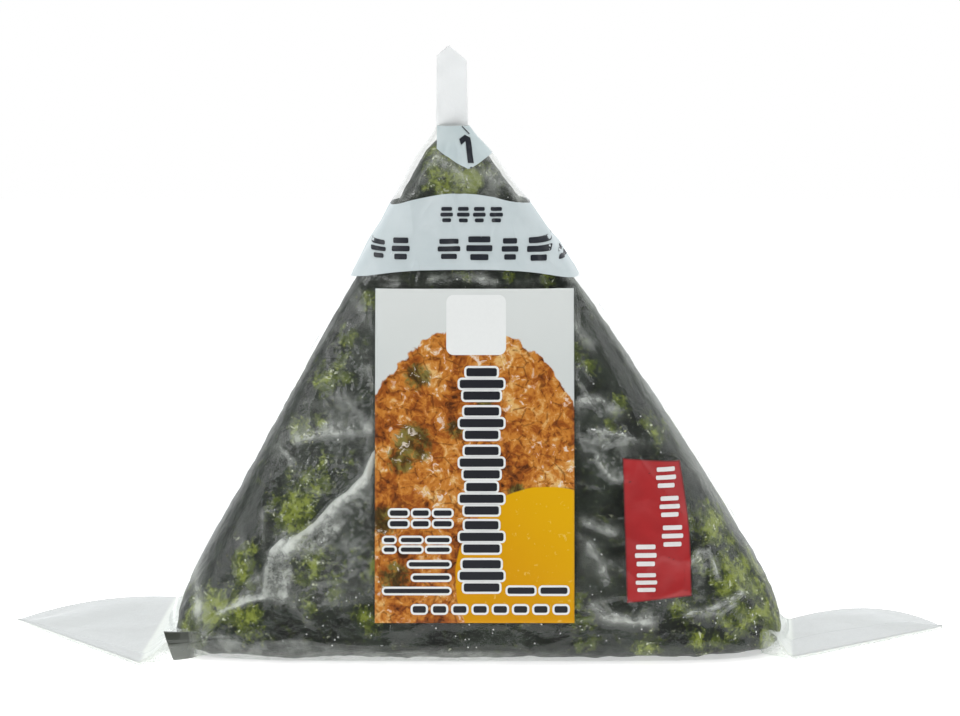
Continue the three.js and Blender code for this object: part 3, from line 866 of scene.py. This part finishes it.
# Outlines on the front within which the film is whiter, partly its haze and partly painted
# highlight: corners, how much, softness of the edge.
PALE_SHAPES = [
    ([(-28.1, 18.3), (-25.7, 18.4), (-22.4, 21.1), (-19.1, 23.7), (-16.1, 26.7), (-15.5, 18.1),
      (-15.5, 9.6), (-19.8, 8.7), (-23.5, 8.5), (-26.5, 8.9), (-28.0, 9.8), (-28.7, 13.9)],
     0.075, 0.35),
    ([(-32.2, 9.9), (-31.9, 12.8), (-31.4, 15.1), (-30.8, 17.5), (-29.4, 18.4), (-28.3, 18.4),
      (-28.2, 16.6), (-28.7, 14.7), (-28.2, 12.6), (-28.9, 11.5), (-28.2, 9.9)], 0.20, 0.25),
    ([(-34.6, 13.0), (-32.2, 13.6), (-32.2, 10.2), (-35.3, 9.0), (-36.1, 9.6)], 0.10, 0.7),
    ([(-27.8, 17.3), (-25.7, 17.1), (-23.0, 18.4), (-20.9, 20.5), (-22.4, 20.6), (-24.6, 19.6)],
     0.14, 0.35),
    ([(-42.3, 7.4), (-42.5, 10.6), (-42.1, 13.0), (-40.9, 15.4), (-40.6, 14.0), (-41.4, 10.6),
      (-41.3, 7.4)], 0.14, 0.35),
    ([(17.3, 34.2), (19.0, 34.3), (21.5, 33.9), (21.3, 33.1), (19.7, 32.3), (18.6, 31.2),
      (17.8, 32.6)], 0.08, 0.2),
    ([(15.7, 30.8), (16.9, 30.1), (18.5, 29.0), (19.9, 29.2), (21.5, 29.4), (21.3, 26.9),
      (20.4, 26.9), (19.0, 28.1), (17.3, 26.9), (16.4, 28.5)], 0.02, 0.5),
    ([(15.9, 21.2), (17.8, 21.5), (19.6, 20.9), (20.7, 20.2), (19.4, 19.6), (18.0, 20.3)],
     0.08, 0.3),
    ([(14.6, 19.6), (15.7, 19.2), (16.6, 17.8), (16.9, 16.0), (18.9, 15.5), (22.0, 16.2),
      (22.0, 13.7), (19.4, 13.2), (17.8, 12.6), (16.6, 13.0), (15.7, 13.5), (14.8, 14.8)],
     0.04, 0.5),
    ([(16.6, 9.3), (18.2, 9.1), (19.4, 7.7), (22.0, 6.6), (23.8, 6.6), (25.7, 6.8), (25.8, 8.2),
      (24.5, 8.6), (23.6, 7.8), (22.0, 7.4), (20.1, 8.0), (18.9, 9.3), (21.0, 10.7),
      (18.5, 9.8)], 0.10, 0.2),
    ([(32.0, 15.5), (33.6, 16.4), (34.1, 14.2), (33.6, 11.9), (32.0, 11.2)], 0.08, 0.3),
    ([(28.7, 9.1), (31.0, 7.5), (33.4, 6.6), (36.6, 6.4), (39.0, 8.0), (37.8, 9.6), (34.3, 8.2)],
     0.03, 0.3),
]

def haze_of(points):
    """How white the film is: more where loose, creased, turned under or on the sides, part painted
    light.
    """
    x, y, z = points.T
    centre, half_width, half_depth, _ = section(z)
    front = y < 0.0
    _, crest = all_creases(x, z, front)
    folds = fold_noise.ridges(points, 11.0) ** 8
    haze = 0.001 + 0.021 * looseness(points) + 0.03 * folds + crest
    for px, pz, wide, high, more in PALE_PLACES:
        place = np.exp(-((((x - px) / wide) ** 2 + ((z - pz) / high) ** 2) ** 2))
        haze += more * place * front
    for outline, more, softness in PALE_SHAPES:
        haze += more * within(x, z, outline, softness) * front
    haze = crest + (haze - crest) * flatness(x, z, front)[1]
    # Whiter film along the right and left rims: partly the film standing clear of the seaweed,
    # partly a painted reflection of the bright surround.
    right_rim = 1.0 - (centre + half_width - x) / np.interp(z, *zip(*RIGHT_RIM))
    left_rim = 1.0 - (x - centre + half_width) / LEFT_RIM_WIDTH
    near_face = mix(0.15, 1.0, smooth(0.45, 0.8, np.abs(y) / half_depth))
    haze += 0.45 * near_face * np.clip(right_rim, 0.0, 1.0) ** 1.8
    haze += 0.42 * near_face * np.clip(left_rim, 0.0, 1.0) ** 2.4 * smooth(4.0, 12.0, z)
    line = np.interp(x, *zip(*TURNING_LINE)) + 0.4 * fold_noise.at(points, 4.0)
    turned_under = smooth(line + 0.25, line - 0.25, z)
    haze += turned_under * mix(0.155, 0.012, smooth(-5.0, 20.0, x)) * smooth(-45.0, -37.0, x)
    haze += 0.06 * smooth(72.0, 78.0, z)
    return np.clip(haze, 0.0, 0.95)


def film_body():
    angle, z, faces = body_grid(AROUND, 0.0, BASE_EDGE_RADIUS, 12, PACK_HEIGHT, UP)
    points, normals = smooth_point(angle, z), smooth_normal(angle, z)
    moved = points + normals * relief(points, normals)[:, None]
    return capped_below(moved, faces, haze_of(points), AROUND)


EAR_TIP = 72.3
EAR_ROOT_RISE = 2.8
LEFT_EAR = {
    "front_root": (-42.5, -15.0, 0.9),
    "front_spread": (-50.6, -20.2, 0.45),
    "back_root": (-42.5, 15.0, 0.9),
    "back_spread": (-48.8, 20.2, 0.5),
    "bow": (-62.0, 20.6, 1.2),
    "tip": (-EAR_TIP, 3.0, 1.1),
    "doubled_share": 0.12,
}
RIGHT_EAR = {
    "front_root": (42.5, -15.0, 0.9),
    "front_spread": (47.0, -17.2, 0.5),
    "back_root": (42.5, 8.0, 0.9),
    "back_spread": (48.8, 6.0, 0.5),
    "bow": (64.5, 19.0, 1.3),
    "tip": (EAR_TIP, 0.5, 0.6),
    "doubled_share": 0.42,
}
EAR_ROOT_STEPS = 14
EAR_FLAT_STEPS = 76
EAR_ROWS = 60
EAR_FILM_GAP = 0.25


def ear_edge(root, spread, bow, tip):
    """An ear's edge in plan: straight out of the pack, then a curve drawn by its bow."""
    root, spread, bow, tip = (np.array(p) for p in (root, spread, bow, tip))
    first = np.linspace(0.0, 1.0, EAR_ROOT_STEPS + 1)[:, None]
    t = np.linspace(0.0, 0.99, EAR_FLAT_STEPS + 1)[1:, None]
    curve = (1 - t) ** 2 * spread + 2 * t * (1 - t) * bow + t**2 * tip
    return np.concatenate([mix(root, spread, first), curve])


def ear(shape):
    """The two layers of pressed film beyond an end of the pack, closed along their edges."""
    halfway = mix(np.array(shape["front_spread"]), np.array(shape["tip"]), 0.5)
    front = ear_edge(shape["front_root"], shape["front_spread"], halfway, shape["tip"])
    back = ear_edge(shape["back_root"], shape["back_spread"], shape["bow"], shape["tip"])
    share = np.linspace(0.0, 1.0, EAR_ROWS)[:, None]
    middle = mix(front, back, share[:, :, None])
    step = np.arange(len(front))
    out = step / step[-1]
    wave = np.sin(math.pi * share) * np.sin(2.4 * math.pi * out + 5.0 * share)
    ripple = 0.35 * np.clip(wave, 0.0, None) * (1.0 - smooth(0.8, 1.0, out))
    inner = np.sin(math.pi * share) ** 0.5
    places = middle.reshape(-1, 3)
    ripple += 0.10 * inner * fold_noise.ridges(places, 14.0).reshape(ripple.shape) ** 3
    ripple += 0.05 * inner * fine_noise.at(places, 6.0).reshape(ripple.shape)
    doubled = smooth(0.015, -0.015, share - shape["doubled_share"])
    rise = EAR_ROOT_RISE * (1.0 - smooth(0.3, 1.0, step / EAR_ROOT_STEPS))
    x, y, z = np.moveaxis(middle, -1, 0)
    top = stacked(x, y, z + EAR_FILM_GAP / 2.0 + 0.3 * doubled + rise + ripple)
    bottom = stacked(x, y, np.maximum(0.03, z - EAR_FILM_GAP / 2.0 + 0.6 * ripple))
    haze_top = 0.88 + 0.06 * doubled - 0.65 * smooth(EAR_ROOT_STEPS + 4, 2, step)
    haze = np.append(haze_top, np.full(haze_top.shape, 0.12))
    points, faces = closed_sheet(top, bottom)
    if shape["tip"][0] < 0.0:
        faces = faces[:, ::-1]
    return points, faces, haze


TAB_WIDTH = 4.8
TAB_TOP = 91.0
TAB_CURL = 0.9


def film_wrap():
    pieces = [film_body(), ear(LEFT_EAR), ear(RIGHT_EAR)]
    points, faces = joined([(p, f) for p, f, _ in pieces])
    haze = np.concatenate([h for _, _, h in pieces])
    material = film_material(
        "clear_film", (0.985, 0.99, 0.988), (0.74, 0.78, 0.72), (0.55, 0.57, 0.565), 0.16
    )
    return mesh_object("film_wrap", points, faces, material, amount=haze)


def corner_fold():
    """The stiff folded end of the hem at the pack's left front corner, its film darkened as
    painted shade.
    """
    u, v = np.meshgrid(np.linspace(0.0, 1.0, 40), np.linspace(0.0, 1.0, 36))
    x = mix(mix(-45.5, -46.9, v), -40.6, u)
    z = mix(mix(0.8, 1.0, u), mix(5.2, 4.6, u), v)
    folded = 0.35 * np.sin(math.pi * v) ** 0.6 - 0.30 * np.exp(-(((v - 0.62) / 0.05) ** 2))
    middle = stacked(x, mix(-18.9, -16.3, u**1.6) - folded * (1.0 - u), z)
    middle[:, :, 1] += 0.12 * fold_noise.at(middle.reshape(-1, 3), 2.2).reshape(x.shape)
    haze = mix(0.74, 0.92, smooth(0.55, 0.62, v)) * smooth(1.0, 0.45, u)
    # The fold's veil colours are dark: painted shade of the folded hem, while the film itself is
    # clear.
    material = film_material(
        "folded_film_painted_shade", (0.95, 0.96, 0.94), (0.105, 0.115, 0.095), (0.030, 0.036, 0.024), 0.22
    )
    sheet = thin_sheet(middle, 0.3)
    return mesh_object("corner_fold", *sheet, material, amount=np.tile(haze.ravel(), 2))


def pull_tab():
    """The pull tab, a narrow doubled strip whose right edge curls back."""
    s, rise = np.meshgrid(np.linspace(0.0, 1.0, 24), np.linspace(0.0, 1.0, 60))
    foot = PACK_HEIGHT - 3.0
    x = TOP_CENTRE + (s - 0.52) * TAB_WIDTH * mix(1.0, 0.93, rise) - 0.1 * rise
    curl = TAB_CURL * (2.0 * s**1.6 - 0.6) * smooth(0.0, 0.3, rise)
    cut = 4.0 * np.abs(s - 0.4) * smooth(0.7, 1.0, rise)
    middle = stacked(x, curl - 0.2, foot + (TAB_TOP - foot) * rise - cut)
    middle[:, :, 1] += 0.12 * fold_noise.at(middle.reshape(-1, 3), 3.0).reshape(x.shape)
    points, faces = thin_sheet(middle, 0.16)
    white = (0.87, 0.89, 0.89)
    material = film_material("tab_film", (0.985, 0.99, 0.99), white, white, 0.22)
    return mesh_object("pull_tab", points, faces, material, amount=np.full(len(points), 0.85))


# The seaweed: the same form, a little inside the film and further from it on the right.
CORE_BOTTOM = 0.35
CORE_TOP = 77.8
CORE_FACE_GAP = 0.7
CORE_LEFT_GAP = 0.4
CORE_RIGHT_GAP = 0.45
CORE_POWER_LEFT = 5.4
CORE_POWER_RIGHT = 4.2
CORE_EDGE = 1.6
CORE_AROUND = 560
CORE_UP = 170

# Where the seaweed is green and lacy on the front: x, z and radius. The patches right of
# RIGHT_PATCHES are smaller and less green.
RIGHT_PATCHES = 28.0
GREEN_PATCHES = [
    (-33.4, 35.3, 1.8), (-24.3, 27.2, 3.0), (-20.5, 29.6, 2.0), (-28.9, 22.9, 2.8),
    (-27.2, 20.7, 2.2), (-34.8, 15.6, 2.2), (-35.1, 12.0, 1.8), (-40.8, 7.6, 3.2),
    (-43.0, 3.9, 2.8), (-37.8, 8.3, 2.2), (-34.5, 6.8, 2.0), (-34.1, 3.9, 1.8),
    (-25.2, 14.2, 3.0), (-22.2, 10.9, 2.0), (-17.0, 14.2, 2.4), (-25.5, 8.0, 1.6),
    (-16.5, 7.1, 2.2), (-16.6, 53.4, 1.6), (-19.9, 48.3, 1.6), (-19.9, 44.3, 1.4),
    (-23.0, 41.3, 2.4), (-20.4, 41.6, 1.5), (-27.4, 34.1, 1.8), (-23.6, 35.0, 1.4),
    (15.1, 45.9, 1.6), (16.7, 43.7, 1.4), (20.3, 35.3, 1.6), (25.4, 35.0, 1.4),
    (20.9, 38.5, 1.2), (26.8, 33.4, 1.6), (35.6, 20.0, 2.6), (32.6, 21.2, 2.2),
    (36.3, 17.1, 2.6), (33.3, 15.5, 2.4), (37.8, 12.5, 2.8), (40.9, 10.6, 2.6),
    (41.2, 7.3, 3.2), (36.3, 5.8, 3.4), (33.4, 3.0, 2.4), (30.2, 8.3, 2.4), (43.8, 3.4, 2.2),
    (44.0, 7.0, 2.6), (43.2, 11.0, 2.6), (41.8, 14.5, 2.0), (45.0, 3.5, 2.2),
    (25.0, 2.4, 2.2), (15.5, 7.0, 1.6), (14.9, 9.6, 1.4), (15.9, 3.0, 1.8),
    (-4.4, 73.2, 3.0), (-3.6, 70.8, 3.2), (-5.6, 71.0, 2.4),
    (-3.0, 70.1, 2.2), (-0.5, 70.3, 2.0), (0.6, 72.6, 1.6),
    (-6.9, 75.1, 1.0), (-2.5, 57.3, 1.4), (4.3, 57.0, 1.0), (10.5, 56.6, 1.2),
]


def greenness(points):
    """How green and lacy the seaweed is at points on it."""
    x, y, z = points.T
    green = np.zeros_like(x)
    for px, pz, radius in GREEN_PATCHES:
        reach = radius * (0.92 if px > RIGHT_PATCHES else 1.05)
        green += np.exp(-((np.hypot(x - px, z - pz) / reach) ** 2))
    spread = smooth(0.0, 0.7, patch_noise.at(points, 11.0))
    most = np.where(x > RIGHT_PATCHES, 1.05, 1.9)
    share = y / section(z)[2] + 0.35 * patch_noise.at(points + 50.0, 6.0)
    green = mix(np.minimum(green, most), spread, smooth(-0.5, 0.1, share))
    broken = 0.55 + 0.8 * patch_noise.at(points, 3.0) + 0.5 * patch_noise.at(points + 9.0, 1.4)
    return np.clip(1.2 * green * (0.3 + broken), 0.0, 1.8)


def core_points(angle, z):
    """Points on the seaweed's smooth form."""
    centre, half_width, half_depth, power = section(z)
    c = np.cos(angle)
    right = smooth(-0.2, 0.2, c) * smooth(8.0, 20.0, z)
    power = np.minimum(power, mix(CORE_POWER_LEFT, CORE_POWER_RIGHT, right))
    inset = foot_inset(z - CORE_BOTTOM, CORE_EDGE)
    top_over = np.clip((z - (CORE_TOP - 3.0)) / 3.0, 0.0, 1.0)
    closing = np.sqrt(np.clip(1.0 - top_over**2, 0.0, 1.0))
    x, y = squared_ring(angle, power)
    gap_side = np.where(c > 0.0, CORE_RIGHT_GAP, CORE_LEFT_GAP)
    face_gap = np.minimum(CORE_FACE_GAP, 0.5 * half_depth)
    px = centre + x * np.maximum(0.0, half_width - gap_side - inset) * closing
    py = y * np.maximum(0.0, half_depth - face_gap - inset) * closing
    return stacked(px, py, z)


def seaweed_core():
    angle, z, faces = body_grid(CORE_AROUND, CORE_BOTTOM, CORE_EDGE, 14, CORE_TOP, CORE_UP)
    points = core_points(angle, z)
    normals = smooth_normal(angle, np.clip(z, 0.5, PACK_HEIGHT - 1.0))
    sideways = np.abs(normals[:, 0])
    bumps = 0.22 * nori_noise.at(points, 8.0) + 0.18 * nori_noise.at(points + 30.0, 3.0)
    bumps += 0.13 * nori_noise.at(points + 60.0, 1.3)
    bumps = np.minimum(bumps, mix(0.5, 0.12, smooth(0.3, 0.9, sideways)))
    folds = 0.25 * nori_noise.ridges(points + 90.0, 14.0) ** 7 * (1.0 - sideways)
    fade = smooth(CORE_TOP, CORE_TOP - 4.0, z)
    moved = points + normals * ((bumps + folds - 0.1) * fade)[:, None]
    moved, faces, green = capped_below(moved, faces, greenness(points), CORE_AROUND)
    return mesh_object("seaweed_sheet", moved, faces, seaweed_material(), amount=green)


# Print on the film: the band round the upper part, the panel under the tab and the red panel.
PRINT_LIFT = 0.05
BAND_HEIGHT = 63.0
BAR_CORNER_POINTS = 6


def ribbon(angle, z, lift):
    """A grid of points on the film as a mesh, from angles and a grid of heights."""
    return film_points(angle, z, lift), grid_faces(*z.shape)


def band_edges(angle, z_guess):
    centre, half_width, _, _ = section(z_guess)
    x = smooth_point(angle, z_guess)[..., 0]
    share = np.abs((x - centre) / half_width) ** 3.0
    return 57.9 - 1.6 * share, 69.0 - 2.0 * share


def print_band():
    angle = np.append(even_angles(AROUND, BAND_HEIGHT), math.pi)
    low, high = band_edges(angle, np.full_like(angle, BAND_HEIGHT))
    z = mix(low, high, np.linspace(0.0, 1.0, 28)[:, None])
    material = print_material("band_print", (0.57, 0.635, 0.65), (0.53, 0.60, 0.615))
    return mesh_object("printed_band", *ribbon(angle, z, PRINT_LIFT), material)


def number_panel():
    """The pale panel below the tab, pointed below, which reaches the pack's right side."""
    t = np.linspace(0.0, 1.0, 30)[:, None]
    u = np.linspace(0.0, 1.0, 44)[None, :]
    low = np.where(u < 0.5, mix(75.5, 72.5, u / 0.5), mix(72.5, 74.6, (u - 0.5) / 0.5))
    z = mix(low, PACK_HEIGHT - 0.1, t)
    centre, half_width, _, _ = section(z)
    left = np.maximum(-6.3, centre - 0.97 * half_width)
    right = np.minimum(centre + 0.98 * half_width, 4.0)
    x = mix(left, right, u)
    material = print_material("panel_print", (0.55, 0.63, 0.64), (0.50, 0.585, 0.60))
    return mesh_object("number_panel", *ribbon(angle_at(x, z), z, PRINT_LIFT), material)


def red_corner(u, v, grow=0.0):
    """A place on the red panel: u from its left edge, v from its lower edge."""
    left = mix(22.2, 21.6, v) - grow
    right = 29.8 + 1.7 * (1.0 - v**2.2) + grow
    x = mix(left, right, u)
    low, high = mix(9.5, 10.4, u) - grow, mix(30.2, 29.5, u) + grow
    return x, mix(low, high, v)


def red_panel(name, grow, lift, material):
    u, v = np.meshgrid(np.linspace(0.0, 1.0, 30), np.linspace(0.0, 1.0, 64))
    x, z = red_corner(u, v, grow)
    return mesh_object(name, *ribbon(angle_at(x, z), z, lift), material)


def bar_outline(x0, x1, z0, z1, radius):
    """A bar with round corners, as a closed list of places."""
    radius = min(radius, (x1 - x0) / 2.0, (z1 - z0) / 2.0)
    right, left, low, high = x1 - radius, x0 + radius, z0 + radius, z1 - radius
    outline = []
    for quarter, (cx, cz) in enumerate([(right, low), (right, high), (left, high), (left, low)]):
        start = (quarter - 1) * math.pi / 2.0
        for turn in np.linspace(start, start + math.pi / 2.0, BAR_CORNER_POINTS):
            outline.append((cx + radius * math.cos(turn), cz + radius * math.sin(turn)))
    return np.array(outline)


def resampled(outline, step=0.3):
    """The same closed outline with points no more than a step apart."""
    dense = []
    for start, end in zip(outline, np.roll(outline, -1, axis=0)):
        pieces = max(1, math.ceil(np.linalg.norm(end - start) / step))
        dense += [mix(start, end, piece / pieces) for piece in range(pieces)]
    return np.array(dense)


def decals(name, outlines, place, material):
    """Flat convex shapes laid on a surface: place turns arrays of x and z into points on it."""
    parts = []
    for outline in map(resampled, outlines):
        middle = outline.mean(axis=0)
        rings = [middle + (outline - middle) * share for share in (1.0, 0.66, 0.33, TINY_RING)]
        x, z = np.concatenate(rings).T
        parts.append((place(x, z), grid_faces(len(rings), len(outline), closed=True)))
    return mesh_object(name, *joined(parts), material)


def on_film(lift):
    return lambda x, z: film_points(angle_at(x, z), z, lift)


NUMERAL_STEM = [(-2.15, 77.6), (-1.35, 77.15), (-0.8, 73.4), (-1.7, 73.4)]
NUMERAL_FLAG = [(-3.0, 77.0), (-2.15, 77.6), (-1.9, 76.8), (-2.7, 76.1)]


def slanted_bar(start, end, width):
    """A straight bar between two places."""
    along = np.subtract(end, start)
    side = np.array([-along[1], along[0]]) / np.linalg.norm(along) * width / 2.0
    return np.array([start + side, start - side, end - side, end + side])


def stacked_bars(left, right, low, high, rows, lengths, fill=0.6):
    """Bars one over the other that fill a box, each of its own length."""
    step = (high - low) / rows
    centre, half = (left + right) / 2.0, (right - left) / 2.0
    bars = []
    for row in range(rows):
        middle = low + step * (row + 0.5)
        reach = half * lengths[row % len(lengths)]
        thick = step * fill / 2.0
        low_edge, high_edge = middle - thick, middle + thick
        bars.append(bar_outline(centre - reach, centre + reach, low_edge, high_edge, 0.2))
    return bars


BAND_MARKS = [
    (-5.8, -3.9, 64.7, 67.2), (-3.3, -1.4, 64.7, 67.2), (-0.9, 1.0, 64.7, 67.2),
    (1.6, 3.6, 64.7, 67.2), (-15.9, -14.0, 59.4, 62.3), (-13.1, -10.4, 59.2, 62.8),
    (-6.2, -2.8, 59.3, 62.6), (-1.9, 2.0, 59.1, 63.0), (3.4, 5.9, 59.2, 62.7),
    (7.2, 10.7, 59.0, 62.8), (11.6, 13.2, 59.0, 61.8),
]
RED_MARKS = [
    (26.4, 29.4, 25.7, 29.2), (26.9, 29.9, 21.5, 25.0), (27.2, 30.4, 17.2, 20.8),
    (23.2, 26.4, 14.4, 18.1), (23.3, 26.5, 10.7, 13.9),
]


def film_marks():
    """The numeral, and plain bars where the band and the red panel carry their print."""
    black = ink_material("film_black_ink", (0.010, 0.013, 0.020))
    white = ink_material("film_white_ink", (0.72, 0.70, 0.69))
    place = on_film(PRINT_LIFT + 0.06)
    numeral = [
        np.array(NUMERAL_STEM),
        np.array(NUMERAL_FLAG),
        slanted_bar((-2.6, 78.85), (-1.5, 77.7), 0.16),
        bar_outline(-1.35, -1.05, 72.6, 72.85, 0.15),
    ]
    band, panel = [], []
    for box in BAND_MARKS:
        band += stacked_bars(*box, 3, (0.70, 1.0, 0.85), fill=0.68)
    for box in RED_MARKS:
        panel += stacked_bars(*box, 3, (0.85, 1.0, 0.9), fill=0.55)
    return [
        decals("film_black_marks", numeral + band, place, black),
        decals("film_white_marks", panel, place, white),
    ]


# The label.
LABEL_BACK = 0.12
LABEL_FRONT = 0.26
LABEL_FLAT_SHARE = 0.8


def label_points(x, z, lift):
    """Points on the label's plane, lift in front of the film."""
    x, z, shape = flattened(x, z)
    centre, half_width, _, _ = section(z)
    flat = LABEL_FLAT_SHARE * half_width
    angle = angle_at(np.clip(x, centre - flat, centre + flat), z)
    points = smooth_point(angle, z) + smooth_normal(angle, z) * lift
    points[:, 0] = x
    return points.reshape(*shape, 3)


def front_label():
    x, z = np.meshgrid(
        np.linspace(LABEL["left"], LABEL["right"], 70),
        np.linspace(LABEL["bottom"], LABEL["top"], 110),
    )
    sheet = closed_sheet(label_points(x, z, LABEL_FRONT), label_points(x, z, LABEL_BACK))
    return mesh_object("label_sheet", *sheet, label_material())


def on_label(lift):
    return lambda x, z: label_points(x, z, LABEL_FRONT + lift)


def label_bar(left, top, right, bottom, radius, grow=0.0):
    """A bar on the label from shares of its width and height, grown all round by grow."""
    return bar_outline(
        LABEL["left"] + left * LABEL_WIDTH - grow,
        LABEL["left"] + right * LABEL_WIDTH + grow,
        LABEL["top"] - bottom * LABEL_HEIGHT - grow,
        LABEL["top"] - top * LABEL_HEIGHT + grow,
        radius + grow,
    )


TILE = (0.357, 0.018, 0.658, 0.198)
TITLE_TOPS = (0.232, 0.349, 0.467, 0.575, 0.689, 0.806)
TITLE_HEIGHT = 0.105
TITLE_CENTRE = 0.535
TITLE_HALF_WIDTH = 0.110
SALT_COUNT = 460


def title_bars():
    """Six groups of three bars down the middle of the label."""
    lengths = np.random.default_rng(3).uniform(0.68, 0.88, size=(6, 3))
    lengths[:, 1] = 1.0
    bars = []
    for top, row_lengths in zip(TITLE_TOPS, lengths):
        for row, length in enumerate(row_lengths):
            start = top + TITLE_HEIGHT * (row + 0.14) / 3.0
            half = TITLE_HALF_WIDTH * length
            end = start + TITLE_HEIGHT * 0.235
            bars.append((TITLE_CENTRE - half, start, TITLE_CENTRE + half, end))
    return bars


def small_bars():
    """The rows of small print at the left and along the bottom."""
    bars = []
    for left, right in ((0.075, 0.165), (0.19, 0.27), (0.295, 0.385)):
        bars += [(left, 0.662, right, 0.678), (left, 0.694, right, 0.710)]
    for left, right in ((0.045, 0.10), (0.13, 0.235), (0.26, 0.375)):
        bars += [(left, 0.744, right, 0.757), (left, 0.773, right, 0.786)]
    for left, top in ((0.17, 0.817), (0.19, 0.857), (0.045, 0.897)):
        bars.append((left, top, 0.375, top + 0.013))
    bars += [(0.665, 0.893, 0.80, 0.912), (0.83, 0.893, 0.965, 0.912)]
    for left in np.linspace(0.19, 0.90, 8):
        bars.append((left, 0.949, left + 0.066, 0.969))
    return bars


def label_marks():
    """The white tile, and the black bars with their white edges."""
    bars = title_bars() + small_bars()
    white = ink_material("white_ink", (0.77, 0.79, 0.78))
    black = ink_material("black_ink", (0.006, 0.007, 0.012))
    edges = [label_bar(*bar, radius=0.3, grow=0.32) for bar in bars]
    marks = [label_bar(*bar, radius=0.3) for bar in bars]
    return [
        decals("label_tile", [label_bar(*TILE, radius=1.1)], on_label(0.02), white),
        decals("label_mark_edges", edges, on_label(0.03), white),
        decals("label_marks", marks, on_label(0.05), black),
    ]


def salt_grains():
    """Small grains of salt on the seaweed, most of them low down."""
    draw = np.random.default_rng(21)
    count = SALT_COUNT
    corners = np.array([(1, 0, 0), (-1, 0, 0), (0, 1, 0), (0, -1, 0), (0, 0, 1), (0, 0, -1)])
    sides = np.array(
        [(0, 2, 4), (2, 1, 4), (1, 3, 4), (3, 0, 4), (2, 0, 5), (1, 2, 5), (3, 1, 5), (0, 3, 5)]
    )
    z = np.where(
        draw.random(count) < 0.6, draw.uniform(2.5, 12.0, count), draw.uniform(4.0, 70.0, count)
    )
    centre, half_width, _, _ = section(z)
    x = centre + half_width * np.clip(draw.normal(0.15, 0.6, count), -0.9, 0.9)
    angle = angle_at(x, z) * np.where(draw.random(count) < 0.6, 1.0, -1.0)
    parts = []
    for place in core_points(angle, z) + smooth_normal(angle, z) * 0.35:
        turn = Matrix.Rotation(draw.uniform(0.0, 6.28), 3, Vector(draw.normal(size=3)))
        size = 0.045 + 0.11 * draw.random() ** 2.5
        parts.append((place + (corners * size) @ np.array(turn).T, sides))
    return mesh_object("salt_grains", *joined(parts), salt_material(), smooth_shading=False)


# The object.

film = film_wrap()
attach(film, "root")
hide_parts("film_pack")

for piece in (pull_tab(), corner_fold()):
    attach(piece, "root")

seaweed = seaweed_core()
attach(seaweed, "root")

salt = salt_grains()
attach(salt, "root")

red = print_material("red_print", (0.38, 0.015, 0.017), (0.33, 0.013, 0.015))
dark_red = print_material("red_print_edge", (0.20, 0.012, 0.014), (0.16, 0.010, 0.012))
prints = [
    print_band(),
    number_panel(),
    red_panel("red_panel_edge", 0.18, PRINT_LIFT - 0.02, dark_red),
    red_panel("red_panel", 0.0, PRINT_LIFT, red),
    *film_marks(),
]
for piece in prints:
    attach(piece, "root")

label = front_label()
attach(label, "root")
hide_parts("front_label")
for piece in label_marks():
    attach(piece, "root")


# The floor, the light and the camera.


def floor():
    """A white floor, bright enough of itself that only the nearest shade shows on it."""
    s = new_material("white_floor")
    surface = s.principled(
        Base_Color=(0.93, 0.93, 0.93),
        Roughness=0.9,
        Specular_IOR_Level=0.1,
        Emission_Color=(1.0, 1.0, 1.0),
        Emission_Strength=0.6,
    )
    half = 600.0
    points = [(-half, -half, 0.0), (half, -half, 0.0), (half, half, 0.0), (-half, half, 0.0)]
    made = mesh_object("floor", points, [(0, 1, 2, 3)], s.finish(surface), smooth_shading=False)
    made.location.z = -0.02 * MM


def world_light():
    """A white surround that is dimmer where the camera stands, seen plain white by the camera."""
    world = bpy.data.worlds.new("surround")
    bpy.context.scene.world = world
    s = Shader(world, "ShaderNodeOutputWorld")
    direction = s.node("ShaderNodeTexCoord").outputs["Generated"]
    dim_way = Vector((0.05, -0.86, 0.42)).normalized()
    toward = s.node("ShaderNodeVectorMath", {0: direction, 1: dim_way}, operation="DOT_PRODUCT")
    strength = Value(s, toward.outputs["Value"]).rise(-0.30, 0.66) * -0.98 + 1.05
    lit = s.node("ShaderNodeBackground", {"Color": (0.96, 0.98, 1.0), "Strength": strength})
    seen = s.node("ShaderNodeBackground", {"Color": (1.0, 1.0, 1.0), "Strength": 1.0})
    by_camera = s.node("ShaderNodeLightPath").outputs["Is Camera Ray"]
    s.finish(s.mixed(by_camera, lit.outputs[0], seen.outputs[0]))


def area_light(name, place, aim, width, height, watts):
    light = bpy.data.lights.new(name, "AREA")
    light.shape = "RECTANGLE"
    light.size, light.size_y = width * MM, height * MM
    light.energy = watts
    made = placed(name, light)
    made.location = Vector(place) * MM
    made.rotation_euler = (Vector(aim) - Vector(place)).to_track_quat("-Z", "Y").to_euler()


def camera():
    data = bpy.data.cameras.new("camera")
    data.sensor_fit = "HORIZONTAL"
    data.sensor_width = 36.0
    picture_mm = PICTURE_WIDTH / PIXELS_PER_MM
    data.lens = data.sensor_width * FOCUS_DISTANCE / picture_mm
    data.clip_start, data.clip_end = 0.01, 50.0
    made = placed("camera", data)
    lean = math.radians(CAMERA_ELEVATION)
    back = Vector((0.0, -math.cos(lean), math.sin(lean)))
    made.location = (Vector(CAMERA_TARGET) + CAMERA_DISTANCE * back) * MM
    made.rotation_euler = (math.pi / 2.0 - lean, 0.0, 0.0)
    bpy.context.scene.camera = made


floor()
world_light()
area_light("left_softbox", (-420.0, -330.0, 330.0), (0.0, 0.0, 35.0), 380.0, 420.0, 0.97)
area_light("right_softbox", (450.0, -260.0, 300.0), (0.0, 0.0, 35.0), 360.0, 420.0, 0.86)
area_light("top_softbox", (0.0, 60.0, 620.0), (0.0, 0.0, 30.0), 340.0, 180.0, 1.9)
area_light("glint_light", (-250.0, -470.0, 400.0), (0.0, 0.0, 35.0), 90.0, 70.0, 0.28)
camera()
bpy.context.scene.view_settings.view_transform = "Standard"
bpy.context.scene.view_settings.look = "None"
